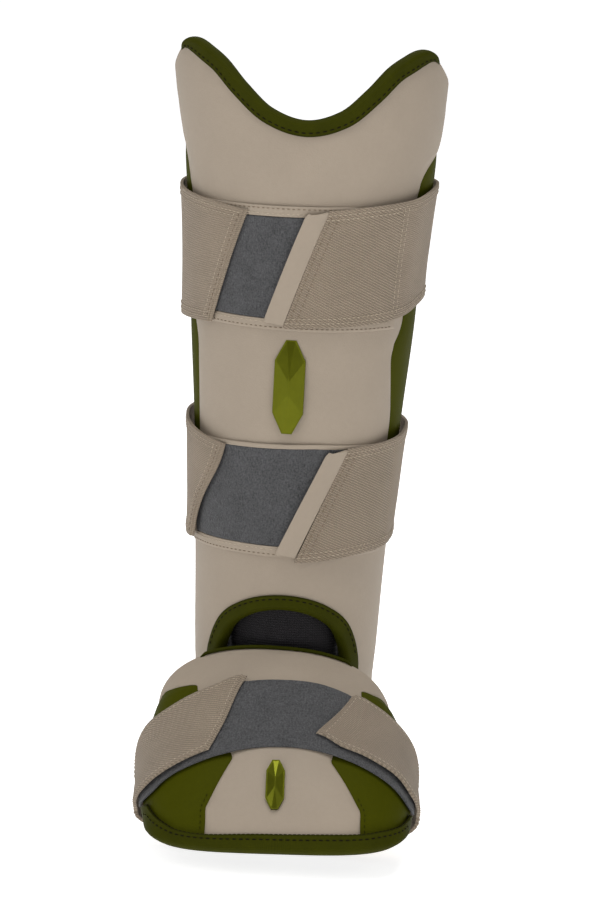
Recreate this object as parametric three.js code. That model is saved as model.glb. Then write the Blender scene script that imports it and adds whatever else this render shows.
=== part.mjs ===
import * as THREE from "three";

// A batter's leg guard: a padded shin shell and a padded foot shell joined by a mesh gusset at the ankle.
// Wide elastic straps hold them on and fasten to loop panels on the front.
// Millimetres. +Z runs up the leg, -Y faces forwards, and +X is on the right as seen from the front.
// The origin is on the leg's axis at the ankle, where the leg stands in the guard.

// Thicknesses and clearances. The padding thins from its full depth to EDGE_PAD at the bound edges.
const SHIN_PAD = 8;
const FOOT_PAD = 6;
const EDGE_PAD = 4;
const PAD_TAPER = 25;
const LOOP_PILE = 1.4;
const TRIM_TAPE = 1.2;
const BINDING_TAPE = 1.2;
const STRAP_WEB = 1.8;
const TAB_SKIN = 1.8;
const GUSSET_MESH = 1.4;
const GAP = 0.3;
const BINDING_GAP = 0.5;

// Widths of the tapes and trims. The toe's tape climbs round the corners of the toe.
const TOE_BINDING = {
  back: 6,
  reach: 84,
  faces: [
    { angle: -88, front: 18.5 },
    { angle: -72, front: 18.5 },
    { angle: -66, front: 17.6 },
    { angle: -62, front: 14.4 },
    { angle: -55, front: 10.5 },
    { angle: -46, front: 7.5 },
    { angle: -37, front: 5.4 },
    { angle: -21, front: 4.6 },
    { angle: 4, front: 5.9 },
    { angle: 32, front: 6.1 },
    { angle: 43, front: 6.8 },
    { angle: 53, front: 7.5 },
    { angle: 65, front: 9.1 },
    { angle: 74, front: 12.6 },
    { angle: 79, front: 16.8 },
    { angle: 88, front: 18.5 },
  ],
};
const COLLAR_BINDING = {
  back: 5,
  reach: 24,
  faces: [
    { angle: -24, front: 1.2 },
    { angle: 24, front: 1.2 },
  ],
};
const TRIM_WIDTH = 5;

// What a strap lies on: the shell, a clearance, the loop pile and a wider clearance
const STRAP_LIFT = GAP + LOOP_PILE + 2 * GAP;

// How far round the leg the shin shell reaches, from its front line
const SHELL_REACH = 98;

// Horizontal sections of the leg side of the guard. front and back are the depths before and behind the axis,
// and shift is how far the section sits to the side.
const SHIN_SECTIONS = [
  { height: -20, halfWidth: 44.2, front: 49, back: 42, shift: 0 },
  { height: 0, halfWidth: 44.8, front: 49.5, back: 43, shift: 0 },
  { height: 50, halfWidth: 46.9, front: 50.5, back: 46, shift: 0 },
  { height: 90, halfWidth: 49.3, front: 52.5, back: 50, shift: 0 },
  { height: 130, halfWidth: 52.2, front: 55, back: 54, shift: 0 },
  { height: 170, halfWidth: 55.5, front: 57.5, back: 57, shift: 0 },
  { height: 207, halfWidth: 57.6, front: 60, back: 59, shift: -0.2 },
  { height: 258, halfWidth: 62.9, front: 63, back: 60, shift: -0.4 },
  { height: 290, halfWidth: 66.8, front: 64.5, back: 60, shift: -1.8 },
  { height: 315, halfWidth: 67.4, front: 65, back: 60, shift: -2.8 },
];

// The scooped top edge of the shin shell, from its front line to its side, and the width of its binding
const RIM = [
  { angle: 0, height: 275, binding: 5.4 },
  { angle: 16, height: 280.1, binding: 5.4 },
  { angle: 28, height: 291, binding: 5.4 },
  { angle: 38, height: 301.2, binding: 5.4 },
  { angle: 48, height: 306.8, binding: 5.4 },
  { angle: 55, height: 308.9, binding: 4.6 },
  { angle: 61, height: 308.2, binding: 2.8 },
  { angle: 67, height: 305, binding: 1.2 },
  { angle: 76, height: 298.8, binding: 1 },
  { angle: 86, height: 292.5, binding: 1 },
  { angle: 98, height: 282, binding: 1 },
];
const RIM_BINDING_END = 67;

// The bottom edge of the shin shell: an arch over the instep between two side legs
const ARCH = [
  { angle: 0, height: 37, binding: 5.6 },
  { angle: 14, height: 35.4, binding: 5.6 },
  { angle: 26, height: 31.2, binding: 5.6 },
  { angle: 36, height: 25, binding: 5.6 },
  { angle: 43, height: 16, binding: 5.6 },
  { angle: 48, height: 5, binding: 5.6 },
  { angle: 52, height: -5, binding: 5.6 },
  { angle: 57, height: -9, binding: 5.6 },
  { angle: 98, height: -8, binding: 5.6 },
];
const ARCH_END = 52;

// Columns of the shin shell, closest where the arch and the scoop bend most. Those beyond SEAM_COLUMNS_FROM
// squeeze in between the side panels.
const SHIN_COLUMNS = [0, 8, 16, 23, 30, 36, 40, 44, 48, 52, 56, 61, 67, 76, 86, 98];
const SEAM_COLUMNS_FROM = 56;

// Where the front panel of the shin shell meets its side panels
const SIDE_SEAM = [
  { height: 92, left: 98, right: 98 },
  { height: 97, left: 86, right: 84 },
  { height: 106, left: 72, right: 67 },
  { height: 130, left: 71, right: 66.5 },
  { height: 163, left: 69, right: 57.5 },
  { height: 176, left: 75, right: 66.5 },
  { height: 205, left: 73, right: 65 },
  { height: 235, left: 72, right: 64 },
  { height: 251, left: 77, right: 67 },
  { height: 258, left: 88, right: 82 },
  { height: 263, left: 98, right: 98 },
];
const SEAM_GAP = 0.5;
const SIDE_PANEL_COLUMNS = 4;
const SIDE_PANEL_ENDS = { low: 92.8, high: 262.2 };

// Rows of the shin shell: shares of the way from the arch to the first level row, and on to the rim
const ARCH_SHARES = [0, 0.35];
const LEVEL_ROWS_BELOW = [50, 72];
const RIM_SHARES = [0.5, 1];

// Loop panels on the shin, as the heights of their lower and upper edges from one end to the other, and the
// widths of the trims sewn along those edges
const UPPER_LOOP = {
  trim: { low: 5, high: 5 },
  edges: [
    { angle: -52, low: 180, high: 228.8 },
    { angle: 20, low: 180.3, high: 231 },
    { angle: 48, low: 180.5, high: 228.4 },
  ],
};
const LOWER_LOOP = {
  trim: { low: 5, high: 1.4 },
  edges: [
    { angle: -62, low: 66.2, high: 113.8 },
    { angle: -30, low: 67.1, high: 115.2 },
    { angle: 12, low: 67.2, high: 116.9 },
    { angle: 58, low: 67.4, high: 115.4 },
  ],
};
const LOOP_COLUMNS = 20;
const LOOP_ROWS = 2;

// Elastic straps round the calf. turn runs from the front line by the right side and the back to the left.
// lift is the clearance over the shell, and flare is how much more of it there is along the upper edge.
const UPPER_STRAP = {
  start: { low: -7, high: 11.2 },
  end: { low: 314, high: 335 },
  path: [
    { turn: -20, low: 176, high: 233, lift: STRAP_LIFT, flare: 0 },
    { turn: 11, low: 177.2, high: 234.5, lift: STRAP_LIFT, flare: 0 },
    { turn: 30, low: 178.5, high: 236.6, lift: STRAP_LIFT, flare: 0 },
    { turn: 54, low: 181.3, high: 239, lift: 2.4, flare: 0.3 },
    { turn: 72, low: 185, high: 241.6, lift: 1.2, flare: 0.1 },
    { turn: 90, low: 187, high: 243, lift: 1.3, flare: -0.8 },
    { turn: 135, low: 183, high: 241.5, lift: 0.8, flare: 0.2 },
    { turn: 180, low: 178, high: 239, lift: 0.8, flare: 0.2 },
    { turn: 225, low: 174, high: 238, lift: 1, flare: 0.4 },
    { turn: 270, low: 172.3, high: 237, lift: 2.6, flare: -1.6 },
    { turn: 290, low: 173, high: 236, lift: 2.6, flare: -0.6 },
    { turn: 314, low: 174.4, high: 234.2, lift: STRAP_LIFT, flare: 0 },
    { turn: 340, low: 175.5, high: 231.8, lift: STRAP_LIFT, flare: 0 },
  ],
};
const LOWER_STRAP = {
  start: { low: 4.5, high: 29.7 },
  end: { low: 296, high: 323 },
  path: [
    { turn: 4, low: 59.7, high: 115.6, lift: STRAP_LIFT, flare: 0 },
    { turn: 22, low: 61.2, high: 116.6, lift: STRAP_LIFT, flare: 0 },
    { turn: 42, low: 63.3, high: 117.9, lift: STRAP_LIFT, flare: 0 },
    { turn: 64, low: 65, high: 119.6, lift: 2.4, flare: 0.3 },
    { turn: 78, low: 66, high: 121.2, lift: 1.2, flare: 0.8 },
    { turn: 90, low: 66.5, high: 122, lift: 0.9, flare: 0.6 },
    { turn: 135, low: 66, high: 123, lift: 0.8, flare: 2.2 },
    { turn: 180, low: 65, high: 123.5, lift: 1.2, flare: 1.6 },
    { turn: 225, low: 65, high: 124, lift: 1, flare: 1.8 },
    { turn: 270, low: 64, high: 122.5, lift: 2.6, flare: -0.8 },
    { turn: 290, low: 63.5, high: 120.2, lift: 2.8, flare: 0 },
    { turn: 305, low: 64, high: 117.7, lift: STRAP_LIFT, flare: 0.4 },
    { turn: 325, low: 66, high: 114.6, lift: STRAP_LIFT, flare: 0 },
  ],
};
const STRAP_COLUMNS = 42;
const STRAP_ROWS = 3;

// Pull tabs sewn to the slanted right-hand ends of the calf straps
const TAB_WIDTH = 9;
const TAB_INSET = 1.2;
const TAB_ROWS = 6;

// Ribs of the foot shell, as shares of the way from its collar to its toe edge. Each is an arch from one
// lower side edge over the apex to the other. round is the exponent that squares its shoulders, shift turns
// the toe out to the side, and tilt is how far the rib leans, in degrees.
const FOOT_RIBS = [
  { along: 0, apexY: -47, apexZ: 14.5, sideY: -40, sideZ: -24, half: 57.5, round: 2.4, shift: -2.4, tilt: 0 },
  { along: 0.25, apexY: -70, apexZ: 3, sideY: -52, sideZ: -43, half: 65, round: 2.6, shift: 0.6, tilt: 0.5 },
  { along: 0.5, apexY: -94, apexZ: -13, sideY: -66, sideZ: -54, half: 65.5, round: 2.5, shift: 2, tilt: 1.2 },
  { along: 0.75, apexY: -117, apexZ: -33, sideY: -80, sideZ: -58, half: 65.5, round: 2.8, shift: 3, tilt: 2 },
  { along: 1, apexY: -133, apexZ: -62, sideY: -90, sideZ: -58.3, half: 63, round: 3.4, shift: 4.2, tilt: 2 },
];
const FOOT_LENGTH = 118;
const FOOT_COLUMNS = 22;
const COLLAR_COLUMNS = 10;
const FOOT_ROW_PLACES = [
  0, 0.022, 0.04, 0.063, 0.093, 0.131, 0.147, 0.163, 0.174, 0.204, 0.25, 0.34, 0.44, 0.54, 0.645, 0.75, 0.858,
  0.93, 1,
];

// Where the tan top of the foot shell meets its side panels
const FOOT_SEAM = [
  { along: 0.022, left: 88.5, right: 88.5 },
  { along: 0.04, left: 75, right: 77 },
  { along: 0.063, left: 67.5, right: 67 },
  { along: 0.093, left: 62, right: 58 },
  { along: 0.131, left: 54.6, right: 49.5 },
  { along: 0.147, left: 50.5, right: 46.4 },
  { along: 0.163, left: 46.3, right: 39.5 },
  { along: 0.174, left: 43.6, right: 36.1 },
  { along: 0.204, left: 34, right: 35.2 },
  { along: 0.25, left: 33.2, right: 34.2 },
  { along: 0.645, left: 13.5, right: 17.9 },
  { along: 0.858, left: 21.9, right: 31 },
  { along: 1, left: 20.6, right: 30.6 },
];
const FOOT_PANEL_START = 0.022;
const FOOT_PANEL_COLUMNS = 8;
const FOOT_SEAM_GAP = { angle: 0.6, along: 0.007 };

// The foot's loop panel and strap, whose rear and front edges are shares of the shell's length
const FOOT_LOOP = {
  reach: 84,
  edges: [
    { angle: -84, rear: 0.36, front: 0.82 },
    { angle: -62, rear: 0.35, front: 0.785 },
    { angle: -45, rear: 0.33, front: 0.718 },
    { angle: -30, rear: 0.3, front: 0.674 },
    { angle: -19, rear: 0.276, front: 0.643 },
    { angle: -6, rear: 0.25, front: 0.612 },
    { angle: 2, rear: 0.239, front: 0.602 },
    { angle: 12, rear: 0.244, front: 0.613 },
    { angle: 22, rear: 0.267, front: 0.634 },
    { angle: 37, rear: 0.312, front: 0.674 },
    { angle: 53, rear: 0.335, front: 0.726 },
    { angle: 72, rear: 0.35, front: 0.805 },
    { angle: 84, rear: 0.36, front: 0.83 },
  ],
};
const FOOT_STRAP = {
  edges: [
    { angle: -90, rear: 0.3, front: 0.79 },
    { angle: -67, rear: 0.318, front: 0.765 },
    { angle: -48, rear: 0.331, front: 0.708 },
    { angle: -34, rear: 0.312, front: 0.66 },
    { angle: -22, rear: 0.283, front: 0.62 },
    { angle: -10, rear: 0.235, front: 0.6 },
    { angle: 11, rear: 0.28, front: 0.535 },
    { angle: 22, rear: 0.29, front: 0.59 },
    { angle: 31, rear: 0.287, front: 0.613 },
    { angle: 38, rear: 0.3, front: 0.634 },
    { angle: 53, rear: 0.32, front: 0.678 },
    { angle: 67, rear: 0.325, front: 0.745 },
    { angle: 90, rear: 0.31, front: 0.8 },
  ],
  left: { rear: -8.8, front: -23 },
  right: { rear: 26, front: 11.4 },
  sole: -70,
};
const FOOT_LOOP_COLUMNS = 28;
const FOOT_STRAP_SIDE_COLUMNS = 9;
const FOOT_STRAP_SOLE_COLUMNS = 14;
const FOOT_STRAP_ROWS = 4;

// The mesh gusset behind the arch. Its upper rows hang inside the shin shell, and reach is the angle of
// their ends. Its lower rows are sewn under the foot's collar, and reach is half their width. inset is the
// clearance behind the bindings.
const GUSSET_SHIN_ROWS = [
  { height: 50, reach: 56, inset: 0.3 },
  { height: 38, reach: 57, inset: 0.3 },
  { height: 27, reach: 57, inset: 1 },
  { height: 16, reach: 59, inset: 2 },
  { height: 4, reach: 60, inset: 4.5 },
];
const GUSSET_FOOT_ROWS = [
  { along: 0.06, reach: 26, inset: -0.3 },
  { along: 0.13, reach: 26, inset: -1.2 },
];
const GUSSET_COLUMNS = 14;

// Plain faceted badges. ends is the width of the blunt tips, and rim and ridge are heights over the surface.
const SHIN_BADGE = { centre: -3, height: 147, width: 15, ends: 5, length: 46, rim: 1.4, ridge: 4.4 };
const TOE_BADGE = { along: 0.77, width: 9, ends: 3.5, length: 25, rim: 1.2, ridge: 3.2 };
const BADGE_SHOULDER = 0.28;

// Finishes
const tan = new THREE.MeshStandardMaterial({ color: 0xa39686, roughness: 0.62 });
const elastic = new THREE.MeshStandardMaterial({ color: 0x93866f, roughness: 0.9 });
const olive = new THREE.MeshStandardMaterial({ color: 0x424400, roughness: 0.55 });
const glossOlive = new THREE.MeshStandardMaterial({ color: 0x5a6000, roughness: 0.2, metalness: 0.4 });
const loopGrey = new THREE.MeshStandardMaterial({ color: 0x505050, roughness: 1 });
const darkMesh = new THREE.MeshStandardMaterial({ color: 0x1f1d1d, roughness: 0.95 });

const { lerp, clamp, degToRad, radToDeg } = THREE.MathUtils;

// Every column of a table at a place between its rows, on a cubic curve through them or straight.
function between(table, key, at, smooth = true) {
  const last = table.length - 1;
  const place = clamp(at, table[0][key], table[last][key]);
  const i = Math.max(0, table.findIndex((row) => row[key] >= place) - 1);
  const span = table[i + 1][key] - table[i][key];
  const t = (place - table[i][key]) / span;
  const slope = (row, column) => {
    const before = table[Math.max(0, row - 1)];
    const after = table[Math.min(last, row + 1)];
    return (after[column] - before[column]) / (after[key] - before[key]);
  };
  const found = {};
  for (const column of Object.keys(table[i])) {
    const a = table[i][column];
    const b = table[i + 1][column];
    const bend = t * (1 - t) * (1 - t) * (slope(i, column) * span - (b - a));
    const unbend = t * t * (1 - t) * (b - a - slope(i + 1, column) * span);
    found[column] = lerp(a, b, t) + (smooth ? bend + unbend : 0);
  }
  return found;
}

// A table given for one side of the front line, as a table for both sides.
function bothSides(table) {
  const mirrored = table.slice(1).map((row) => ({ ...row, angle: -row.angle }));
  return [...mirrored.reverse(), ...table];
}

// Evenly spaced numbers from one value to another, both included.
function steps(from, to, count) {
  return Array.from({ length: count + 1 }, (_, i) => lerp(from, to, i / count));
}

// A closed wall between two grids of points. A ring joins its last column to its first.
function wall(name, material, outer, inner, ring = false) {
  const columns = outer.length;
  const rows = outer[0].length;
  const points = [...outer.flat(), ...inner.flat()];
  const at = (side, c, r) => side * columns * rows + (c % columns) * rows + r;
  const faces = [];
  const quad = (a, b, c, d) => faces.push(a, b, c, a, c, d);
  for (let c = 0; c < columns - (ring ? 0 : 1); c++) {
    for (let r = 0; r < rows - 1; r++) {
      quad(at(0, c, r), at(0, c + 1, r), at(0, c + 1, r + 1), at(0, c, r + 1));
      quad(at(1, c, r), at(1, c, r + 1), at(1, c + 1, r + 1), at(1, c + 1, r));
    }
    quad(at(0, c, 0), at(1, c, 0), at(1, c + 1, 0), at(0, c + 1, 0));
    quad(at(0, c, rows - 1), at(0, c + 1, rows - 1), at(1, c + 1, rows - 1), at(1, c, rows - 1));
  }
  if (!ring) {
    for (let r = 0; r < rows - 1; r++) {
      const end = columns - 1;
      quad(at(0, 0, r), at(0, 0, r + 1), at(1, 0, r + 1), at(1, 0, r));
      quad(at(0, end, r), at(1, end, r), at(1, end, r + 1), at(0, end, r + 1));
    }
  }
  return solid(name, material, points, faces);
}

// A named mesh of a closed surface, turned so that its faces point outwards.
function solid(name, material, points, faces) {
  let volume = 0;
  for (let i = 0; i < faces.length; i += 3) {
    const [a, b, c] = faces.slice(i, i + 3).map((corner) => points[corner]);
    volume += a.dot(b.clone().cross(c));
  }
  const geometry = new THREE.BufferGeometry().setFromPoints(points);
  geometry.setIndex(volume < 0 ? faces.reverse() : faces);
  geometry.computeVertexNormals();
  const mesh = new THREE.Mesh(geometry, material);
  mesh.name = name;
  return mesh;
}

// A wall on a surface: the grid of places is lifted to both faces. A lift may be a function of the place.
function sheet(name, material, surface, places, low, high, ring = false) {
  const liftAt = (lift, place) => (typeof lift === "function" ? lift(place) : lift);
  const lifted = (lift) => places.map((column) => column.map((place) => surface(place, liftAt(lift, place))));
  return wall(name, material, lifted(high), lifted(low), ring);
}

// The outer face of the shin shell, carried on round the calf, at an angle from the front line and a height.
function shinPoint({ angle, height }, lift) {
  const { halfWidth, front, back, shift } = between(SHIN_SECTIONS, "height", height);
  const turn = degToRad(angle);
  const depth = Math.cos(turn) > 0 ? front : back;
  const normal = new THREE.Vector2(Math.sin(turn) / halfWidth, -Math.cos(turn) / depth).normalize();
  const x = shift + halfWidth * Math.sin(turn) + normal.x * lift;
  const y = -depth * Math.cos(turn) + normal.y * lift;
  return new THREE.Vector3(x, y, height);
}

// Degrees round the shin for a length along its face.
function shinDegrees(length, height) {
  const { halfWidth, front } = between(SHIN_SECTIONS, "height", height);
  return radToDeg(length / ((halfWidth + front) / 2));
}

// The angle of the front panel's seam at a height, on the side that the angle's sign names.
function seamAngle(side, height) {
  const seam = between(SIDE_SEAM, "height", height, false);
  return side < 0 ? -seam.left : seam.right;
}

// The angles of the shin shell's columns, on both sides of the front line.
function shinColumns() {
  return [...SHIN_COLUMNS.slice(1).map((angle) => -angle).reverse(), ...SHIN_COLUMNS];
}

// The depth of padding at a distance from a bound edge.
function padding(full, distance) {
  return lerp(EDGE_PAD, full, clamp(distance / PAD_TAPER, 0, 1));
}

// The bottom and top of the shin shell at an angle.
function shinEdges(angle) {
  const low = between(bothSides(ARCH), "angle", angle).height;
  const high = between(bothSides(RIM), "angle", angle).height;
  return { low, high };
}

// The depth of the shin's padding at a place.
function shinPadding({ angle, height }) {
  const { low, high } = shinEdges(angle);
  return padding(SHIN_PAD, Math.min(height - low, high - height));
}

// The front panel of the shin shell.
function shinShell() {
  const level = [...LEVEL_ROWS_BELOW, ...SIDE_SEAM.map(({ height }) => height)];
  const [bottom, top] = [level[0], level[level.length - 1]];
  const places = shinColumns().map((column) => {
    const { low, high } = shinEdges(column);
    const below = ARCH_SHARES.map((share) => lerp(low, bottom, share));
    const above = RIM_SHARES.map((share) => lerp(top, high, share));
    return [...below, ...level, ...above].map((height) => {
      const inner = Math.min(Math.abs(column), SEAM_COLUMNS_FROM);
      const outer = (Math.abs(column) - inner) / (SHELL_REACH - SEAM_COLUMNS_FROM);
      const seam = Math.abs(seamAngle(column, height));
      const angle = Math.sign(column) * (inner + outer * (seam - SEAM_COLUMNS_FROM));
      const pad = padding(SHIN_PAD, Math.min(height - low, high - height));
      return { angle, height, pad };
    });
  });
  return sheet("shin_shell", tan, shinPoint, places, ({ pad }) => -pad, 0);
}

// A side panel of the shin shell, from the seam to the back edge.
function shinSide(name, side) {
  const seamHeights = SIDE_SEAM.slice(1, -1).map(({ height }) => height);
  const heights = [SIDE_PANEL_ENDS.low, ...seamHeights, SIDE_PANEL_ENDS.high];
  const places = steps(0, 1, SIDE_PANEL_COLUMNS).map((share) =>
    heights.map((height) => ({
      angle: lerp(seamAngle(side, height) + side * SEAM_GAP, side * SHELL_REACH, share),
      height,
    })),
  );
  return sheet(name, olive, shinPoint, places, -SHIN_PAD, 0);
}

// A tape folded over an edge of the shin shell. outwards is +1 on a top edge and -1 on a bottom edge.
function shinBinding(name, edge, end, outwards) {
  const outline = bothSides(edge);
  const at = (angle) => between(outline, "angle", angle);
  const beyond = (angle, distance) => {
    const { height } = at(angle);
    const reach = 1 / shinDegrees(1, height);
    const rise = (at(angle + 0.5).height - at(angle - 0.5).height) / reach;
    const push = (outwards * distance) / Math.hypot(1, rise);
    return { angle: angle - (push * rise) / reach, height: height + push };
  };
  const fold = (clear) => (angle) => {
    const hem = beyond(angle, -at(angle).binding);
    const edgePlace = beyond(angle, clear);
    return [
      shinPoint(hem, clear),
      shinPoint(edgePlace, clear),
      shinPoint(edgePlace, -EDGE_PAD - clear),
      shinPoint(hem, -shinPadding(hem) - clear),
    ];
  };
  const outerFold = fold(BINDING_GAP + BINDING_TAPE);
  const innerFold = fold(BINDING_GAP);
  const angles = shinColumns().filter((angle) => Math.abs(angle) <= end);
  return wall(name, olive, angles.map(outerFold), angles.map(innerFold));
}

// A loop panel, which fills the outline between its two ends.
function shinLoop(name, { edges }) {
  const [left, right] = [edges[0], edges[edges.length - 1]];
  const places = steps(left.angle, right.angle, LOOP_COLUMNS).map((angle) => {
    const { low, high } = between(edges, "angle", angle, false);
    return steps(low, high, LOOP_ROWS).map((height) => ({ angle, height }));
  });
  return sheet(name, loopGrey, shinPoint, places, GAP, GAP + LOOP_PILE);
}

// The stitched trim that frames a loop panel: a flat ring that runs right round its edges.
function loopTrim(name, { edges, trim }) {
  const [left, right] = [edges[0], edges[edges.length - 1]];
  const frame = (share) => {
    const widen = shinDegrees(GAP + share * TRIM_WIDTH, left.low);
    const across = steps(left.angle - widen, right.angle + widen, LOOP_COLUMNS);
    const at = (angle) => between(edges, "angle", angle, false);
    const lowAt = (angle) => at(angle).low - GAP - share * trim.low;
    const highAt = (angle) => at(angle).high + GAP + share * trim.high;
    return [
      ...across.map((angle) => ({ angle, height: lowAt(angle) })),
      { angle: right.angle + widen, height: (right.low + right.high) / 2 },
      ...across.reverse().map((angle) => ({ angle, height: highAt(angle) })),
      { angle: left.angle - widen, height: (left.low + left.high) / 2 },
    ];
  };
  const inside = frame(0);
  const outside = frame(1);
  const places = inside.map((place, i) => [place, outside[i]]);
  return sheet(name, tan, shinPoint, places, GAP, GAP + TRIM_TAPE, true);
}

// A calf strap: one elastic band from its right-hand end round the back of the leg to its left-hand end.
function calfStrap(name, { start, end, path }) {
  const band = (extra) =>
    steps(0, 1, STRAP_COLUMNS).map((share) =>
      steps(0, 1, STRAP_ROWS).map((across) => {
        const from = lerp(start.low, start.high, across);
        const angle = lerp(from, lerp(end.low, end.high, across), share);
        const { low, high, lift, flare } = between(path, "turn", angle);
        return shinPoint({ angle, height: lerp(low, high, across) }, lift + flare * across + extra);
      }),
    );
  return wall(name, elastic, band(STRAP_WEB), band(0));
}

// A smooth pull tab along the slanted right-hand end of a calf strap.
function pullTab(name, { start, path }) {
  const row = between(path, "turn", start.high);
  const low = row.low + TAB_INSET;
  const high = row.high - TAB_INSET;
  const places = [TAB_WIDTH, 0].map((width) =>
    steps(low, high, TAB_ROWS).map((height) => {
      const across = (height - row.low) / (row.high - row.low);
      const seam = lerp(start.low, start.high, across);
      return { angle: seam - shinDegrees(width + GAP, height), height };
    }),
  );
  const middle = places[0].map((place, i) => ({ ...place, angle: (place.angle + places[1][i].angle) / 2 }));
  const columns = [places[0], middle, places[1]];
  return sheet(name, tan, shinPoint, columns, STRAP_LIFT, STRAP_LIFT + TAB_SKIN);
}

// The outer face of the foot shell, at an angle across it from its centre line and a share of its length.
function footFace(angle, along) {
  const rib = between(FOOT_RIBS, "along", along);
  const turn = degToRad(angle);
  const power = 2 / rib.round;
  const rise = Math.max(0, Math.cos(turn)) ** power;
  const x = rib.half * Math.sign(turn) * Math.abs(Math.sin(turn)) ** power;
  const z = lerp(rib.sideZ, rib.apexZ, rise) + x * Math.tan(degToRad(rib.tilt));
  return new THREE.Vector3(rib.shift + x, lerp(rib.sideY, rib.apexY, rise), z);
}

// The angle across the foot shell of a place that far to the side of its centre line.
function footAngle(x, along) {
  const { half, round } = between(FOOT_RIBS, "along", along);
  return radToDeg(Math.sign(x) * Math.asin((Math.abs(x) / half) ** (round / 2)));
}

// Directions on the foot shell at a place: down towards the toe edge, and straight out of the face.
function footFrame(angle, along) {
  const nearEdge = clamp(angle, -88, 88);
  const inside = clamp(along, 0.01, 0.99);
  const across = footFace(nearEdge + 1, inside).sub(footFace(nearEdge - 1, inside));
  const down = footFace(nearEdge, inside + 0.01).sub(footFace(nearEdge, inside - 0.01)).normalize();
  return { down, out: down.clone().cross(across).normalize() };
}

function footPoint({ angle, along }, lift) {
  const { out } = footFrame(angle, along);
  return footFace(angle, along).addScaledVector(out, lift);
}

// The depth of the foot's padding at a place.
function footPadding({ along }) {
  return padding(FOOT_PAD, FOOT_LENGTH * Math.min(along, 1 - along));
}

// The angle of the foot's seam at a share of its length, on the side that the sign names.
function footSeamAngle(side, along) {
  const { left, right } = between(FOOT_SEAM, "along", along, false);
  return side < 0 ? left : right;
}

// The angles of a side panel's columns, from the seam to the lower side edge.
function footPanelAngles(side, along) {
  const seam = footSeamAngle(side, along - FOOT_SEAM_GAP.along) + FOOT_SEAM_GAP.angle;
  return steps(side * seam, side * 90, FOOT_PANEL_COLUMNS);
}

// The tan top of the foot shell, whose columns squeeze in between the side panels.
function footShell() {
  const places = steps(-1, 1, FOOT_COLUMNS).map((share) =>
    FOOT_ROW_PLACES.map((along) => ({ angle: share * footSeamAngle(share, along), along })),
  );
  return sheet("foot_shell", tan, footPoint, places, (place) => -footPadding(place), 0);
}

// A side panel of the foot shell, from the seam to the lower side edge.
function footSide(name, side) {
  const alongs = [FOOT_PANEL_START, ...FOOT_ROW_PLACES.filter((along) => along > FOOT_PANEL_START)];
  const places = steps(0, FOOT_PANEL_COLUMNS, FOOT_PANEL_COLUMNS).map((column) =>
    alongs.map((along) => ({ angle: footPanelAngles(side, along)[column], along })),
  );
  return sheet(name, olive, footPoint, places, (place) => -footPadding(place), 0);
}

// A tape folded over the collar, at 0, or the toe edge, at 1, of the foot shell.
function footBinding(name, edge, { faces, back }, angles) {
  const outwards = edge ? 1 : -1;
  const hem = (width) => edge - (outwards * width) / FOOT_LENGTH;
  const beyond = (angle, distance, lift) => {
    const { down } = footFrame(angle, edge);
    return footPoint({ angle, along: edge }, lift).addScaledVector(down, outwards * distance);
  };
  const fold = (clear) => (angle) => {
    const { front } = between(faces, "angle", angle);
    return [
      ...[1, 0.66, 0.33].map((share) => footPoint({ angle, along: hem(front * share) }, clear)),
      beyond(angle, clear, clear),
      beyond(angle, clear, -EDGE_PAD - clear),
      footPoint({ angle, along: hem(back) }, -footPadding({ along: hem(back) }) - clear),
    ];
  };
  const outerFold = fold(BINDING_GAP + BINDING_TAPE);
  const innerFold = fold(BINDING_GAP);
  return wall(name, olive, angles.map(outerFold), angles.map(innerFold));
}

function footLoop() {
  const { reach, edges } = FOOT_LOOP;
  const places = steps(-reach, reach, FOOT_LOOP_COLUMNS).map((angle) => {
    const { rear, front } = between(edges, "angle", angle);
    return steps(rear, front, FOOT_STRAP_ROWS).map((along) => ({ angle, along }));
  });
  return sheet("foot_loop_panel", loopGrey, footPoint, places, GAP, GAP + LOOP_PILE);
}

// The foot strap: one elastic band from its left-hand end down the side, under the sole and up again.
function footStrap() {
  const { edges, left, right, sole } = FOOT_STRAP;
  const side = (ends, edge, lift) =>
    steps(0, 1, FOOT_STRAP_SIDE_COLUMNS).map((share) =>
      steps(0, 1, FOOT_STRAP_ROWS).map((across) => {
        const angle = lerp(lerp(ends.rear, ends.front, across), edge, share);
        const { rear, front } = between(edges, "angle", angle);
        return footPoint({ angle, along: lerp(rear, front, across) }, lift);
      }),
    );
  const band = (lift) => {
    const leftSide = side(left, -90, lift);
    const rightSide = side(right, 90, lift);
    const [leftEdge, rightEdge] = [leftSide, rightSide].map((columns) => columns[columns.length - 1]);
    const under = steps(0, 180, FOOT_STRAP_SOLE_COLUMNS).slice(1, -1).map((turn) =>
      leftEdge.map((from, i) => {
        const point = from.clone().lerp(rightEdge[i], (1 - Math.cos(degToRad(turn))) / 2);
        point.z = lerp(point.z, sole - lift, Math.sin(degToRad(turn)) ** 0.7);
        return point;
      }),
    );
    return [...leftSide, ...under, ...rightSide.reverse()];
  };
  return wall("foot_strap", elastic, band(STRAP_LIFT + STRAP_WEB), band(STRAP_LIFT));
}

// The mesh gusset: it hangs inside the arch, crosses the ankle and tucks under the collar of the foot shell.
function ankleGusset() {
  const binding = BINDING_GAP + BINDING_TAPE;
  const strip = (extra) =>
    steps(-1, 1, GUSSET_COLUMNS).map((share) => [
      ...GUSSET_SHIN_ROWS.map(({ height, reach, inset }) => {
        const place = { angle: share * reach, height };
        return shinPoint(place, -shinPadding(place) - binding - inset - extra);
      }),
      ...GUSSET_FOOT_ROWS.map(({ along, reach, inset }) => {
        const place = { angle: footAngle(share * reach, along), along };
        return footPoint(place, -footPadding(place) - binding - inset - extra);
      }),
    ]);
  return wall("ankle_gusset", darkMesh, strip(0), strip(GUSSET_MESH));
}

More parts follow.
